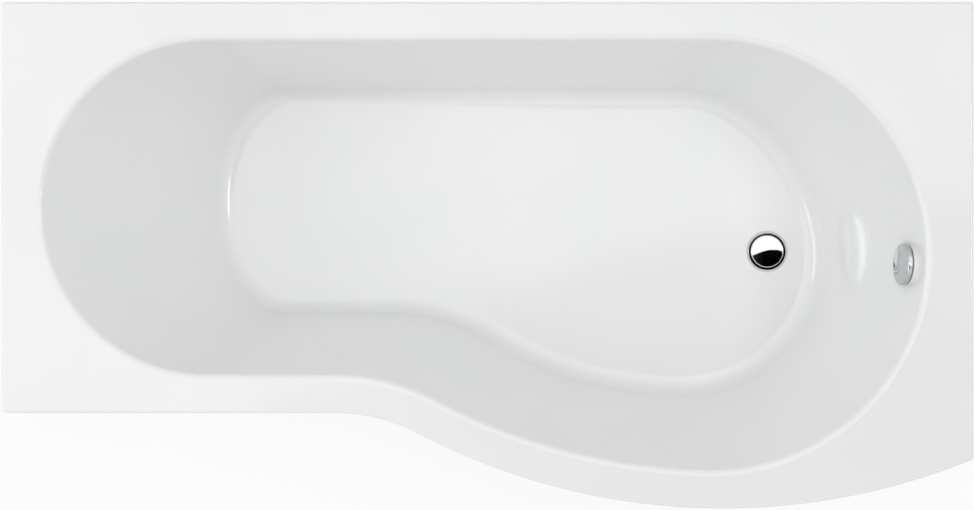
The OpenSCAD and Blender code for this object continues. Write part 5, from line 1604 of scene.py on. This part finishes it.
# Hose nuts. Moulded polypropylene rings with a fluted grip, turned hand-tight, clamp the hose's ends
# over the two spouts.
NUT_L, HOSE_NUT_R = 24.0, HOSE_R + 3.5


def fluted_nut(name):
    bore = HOSE_R + SIDE_GAP / 2
    piece = turned(
        name,
        [
            (bore, 0), (HOSE_NUT_R - 2, 0), (HOSE_NUT_R - 1, 1), (HOSE_NUT_R - 1, 2), (HOSE_NUT_R, 2.6),
            (HOSE_NUT_R, 7), (HOSE_NUT_R, 12), (HOSE_NUT_R, 17), (HOSE_NUT_R, NUT_L - 2.6),
            (HOSE_NUT_R - 1, NUT_L - 2), (HOSE_NUT_R - 1, NUT_L - 1), (HOSE_NUT_R - 2, NUT_L),
            (bore, NUT_L), (bore, 0),
        ],
        96,
    )
    for vertex in piece.data.vertices:
        flat = Vector((vertex.co.x, vertex.co.y))
        if flat.length > (HOSE_NUT_R - 0.1) * MM:
            step = round(math.degrees(math.atan2(flat.y, flat.x)) / 3.75) % 6
            if step in (0, 1, 5):
                flat *= (HOSE_NUT_R - (1.0 if step == 0 else 0.75)) / HOSE_NUT_R
                vertex.co.x, vertex.co.y = flat
    return soften(piece, 25)


nut = fluted_nut("lower_fluted_nut")
put(nut, Matrix.Translation((hose_start - Vector((NUT_L / 2, 0, 0))) * MM) @ along_x)
fit(nut, white_pp, "root", "fitting_plastic", "lower_hose_nut")
nut = fluted_nut("upper_fluted_nut")
at_spout = Matrix.Translation((-(SPOUT_L - NUT_L / 2) * MM, 0, SPOUT_AT * MM))
put(nut, at_overflow @ at_spout @ Matrix.Rotation(rad(-90), 4, "Y"))
fit(nut, white_pp, "root", "fitting_plastic", "upper_hose_nut")

# control_cable. A steel wire in an extruded sheath joins the two cranks. Its ends are held in the
# glands of their cups, under short crimped ferrules.
cable_start = Vector((
    WASTE[0] + LEVER_X + CUP_R + GLAND_L, WASTE[1] - LEVER_OUT - CUP_H / 2, LEVER_Z + CRANK_R - CABLE_R
))
cable_end = from_overflow(-CUP_R - GLAND_L, CABLE_R - CRANK_R, ELBOW_BACK - CUP_H / 2)
total = sum(run_lengths(cable_start, cable_end, CABLE_BEND_R))
FERRULE_L, SHEATH_R = 9.0, CABLE_R - 0.25
count = int(total / 6)
sizes = [(0, CABLE_R - 0.3), (0.3, CABLE_R), (FERRULE_L, CABLE_R), (FERRULE_L + 0.2, SHEATH_R)]
sizes += [(mix(FERRULE_L + 1, total - FERRULE_L - 1, i / count), SHEATH_R) for i in range(count + 1)]
sizes += [(total - FERRULE_L - 0.2, SHEATH_R), (total - FERRULE_L, CABLE_R), (total - 0.3, CABLE_R)]
sizes += [(total, CABLE_R - 0.3)]
cable = swept("sheathed_control_cable", cable_start, cable_end, CABLE_BEND_R, sizes, 20, False)

# Extruded PVC sheath: black, smooth, slightly glossy.
pvc = finish(
    "extruded_black_pvc", (200, 3), ((0.3, "#17181A"), (0.7, "#222325")), (0.3, 0.44), IOR=1.54
)
fit(soften(cable, 30), pvc, "root", "cable_sheath", "control_cable")
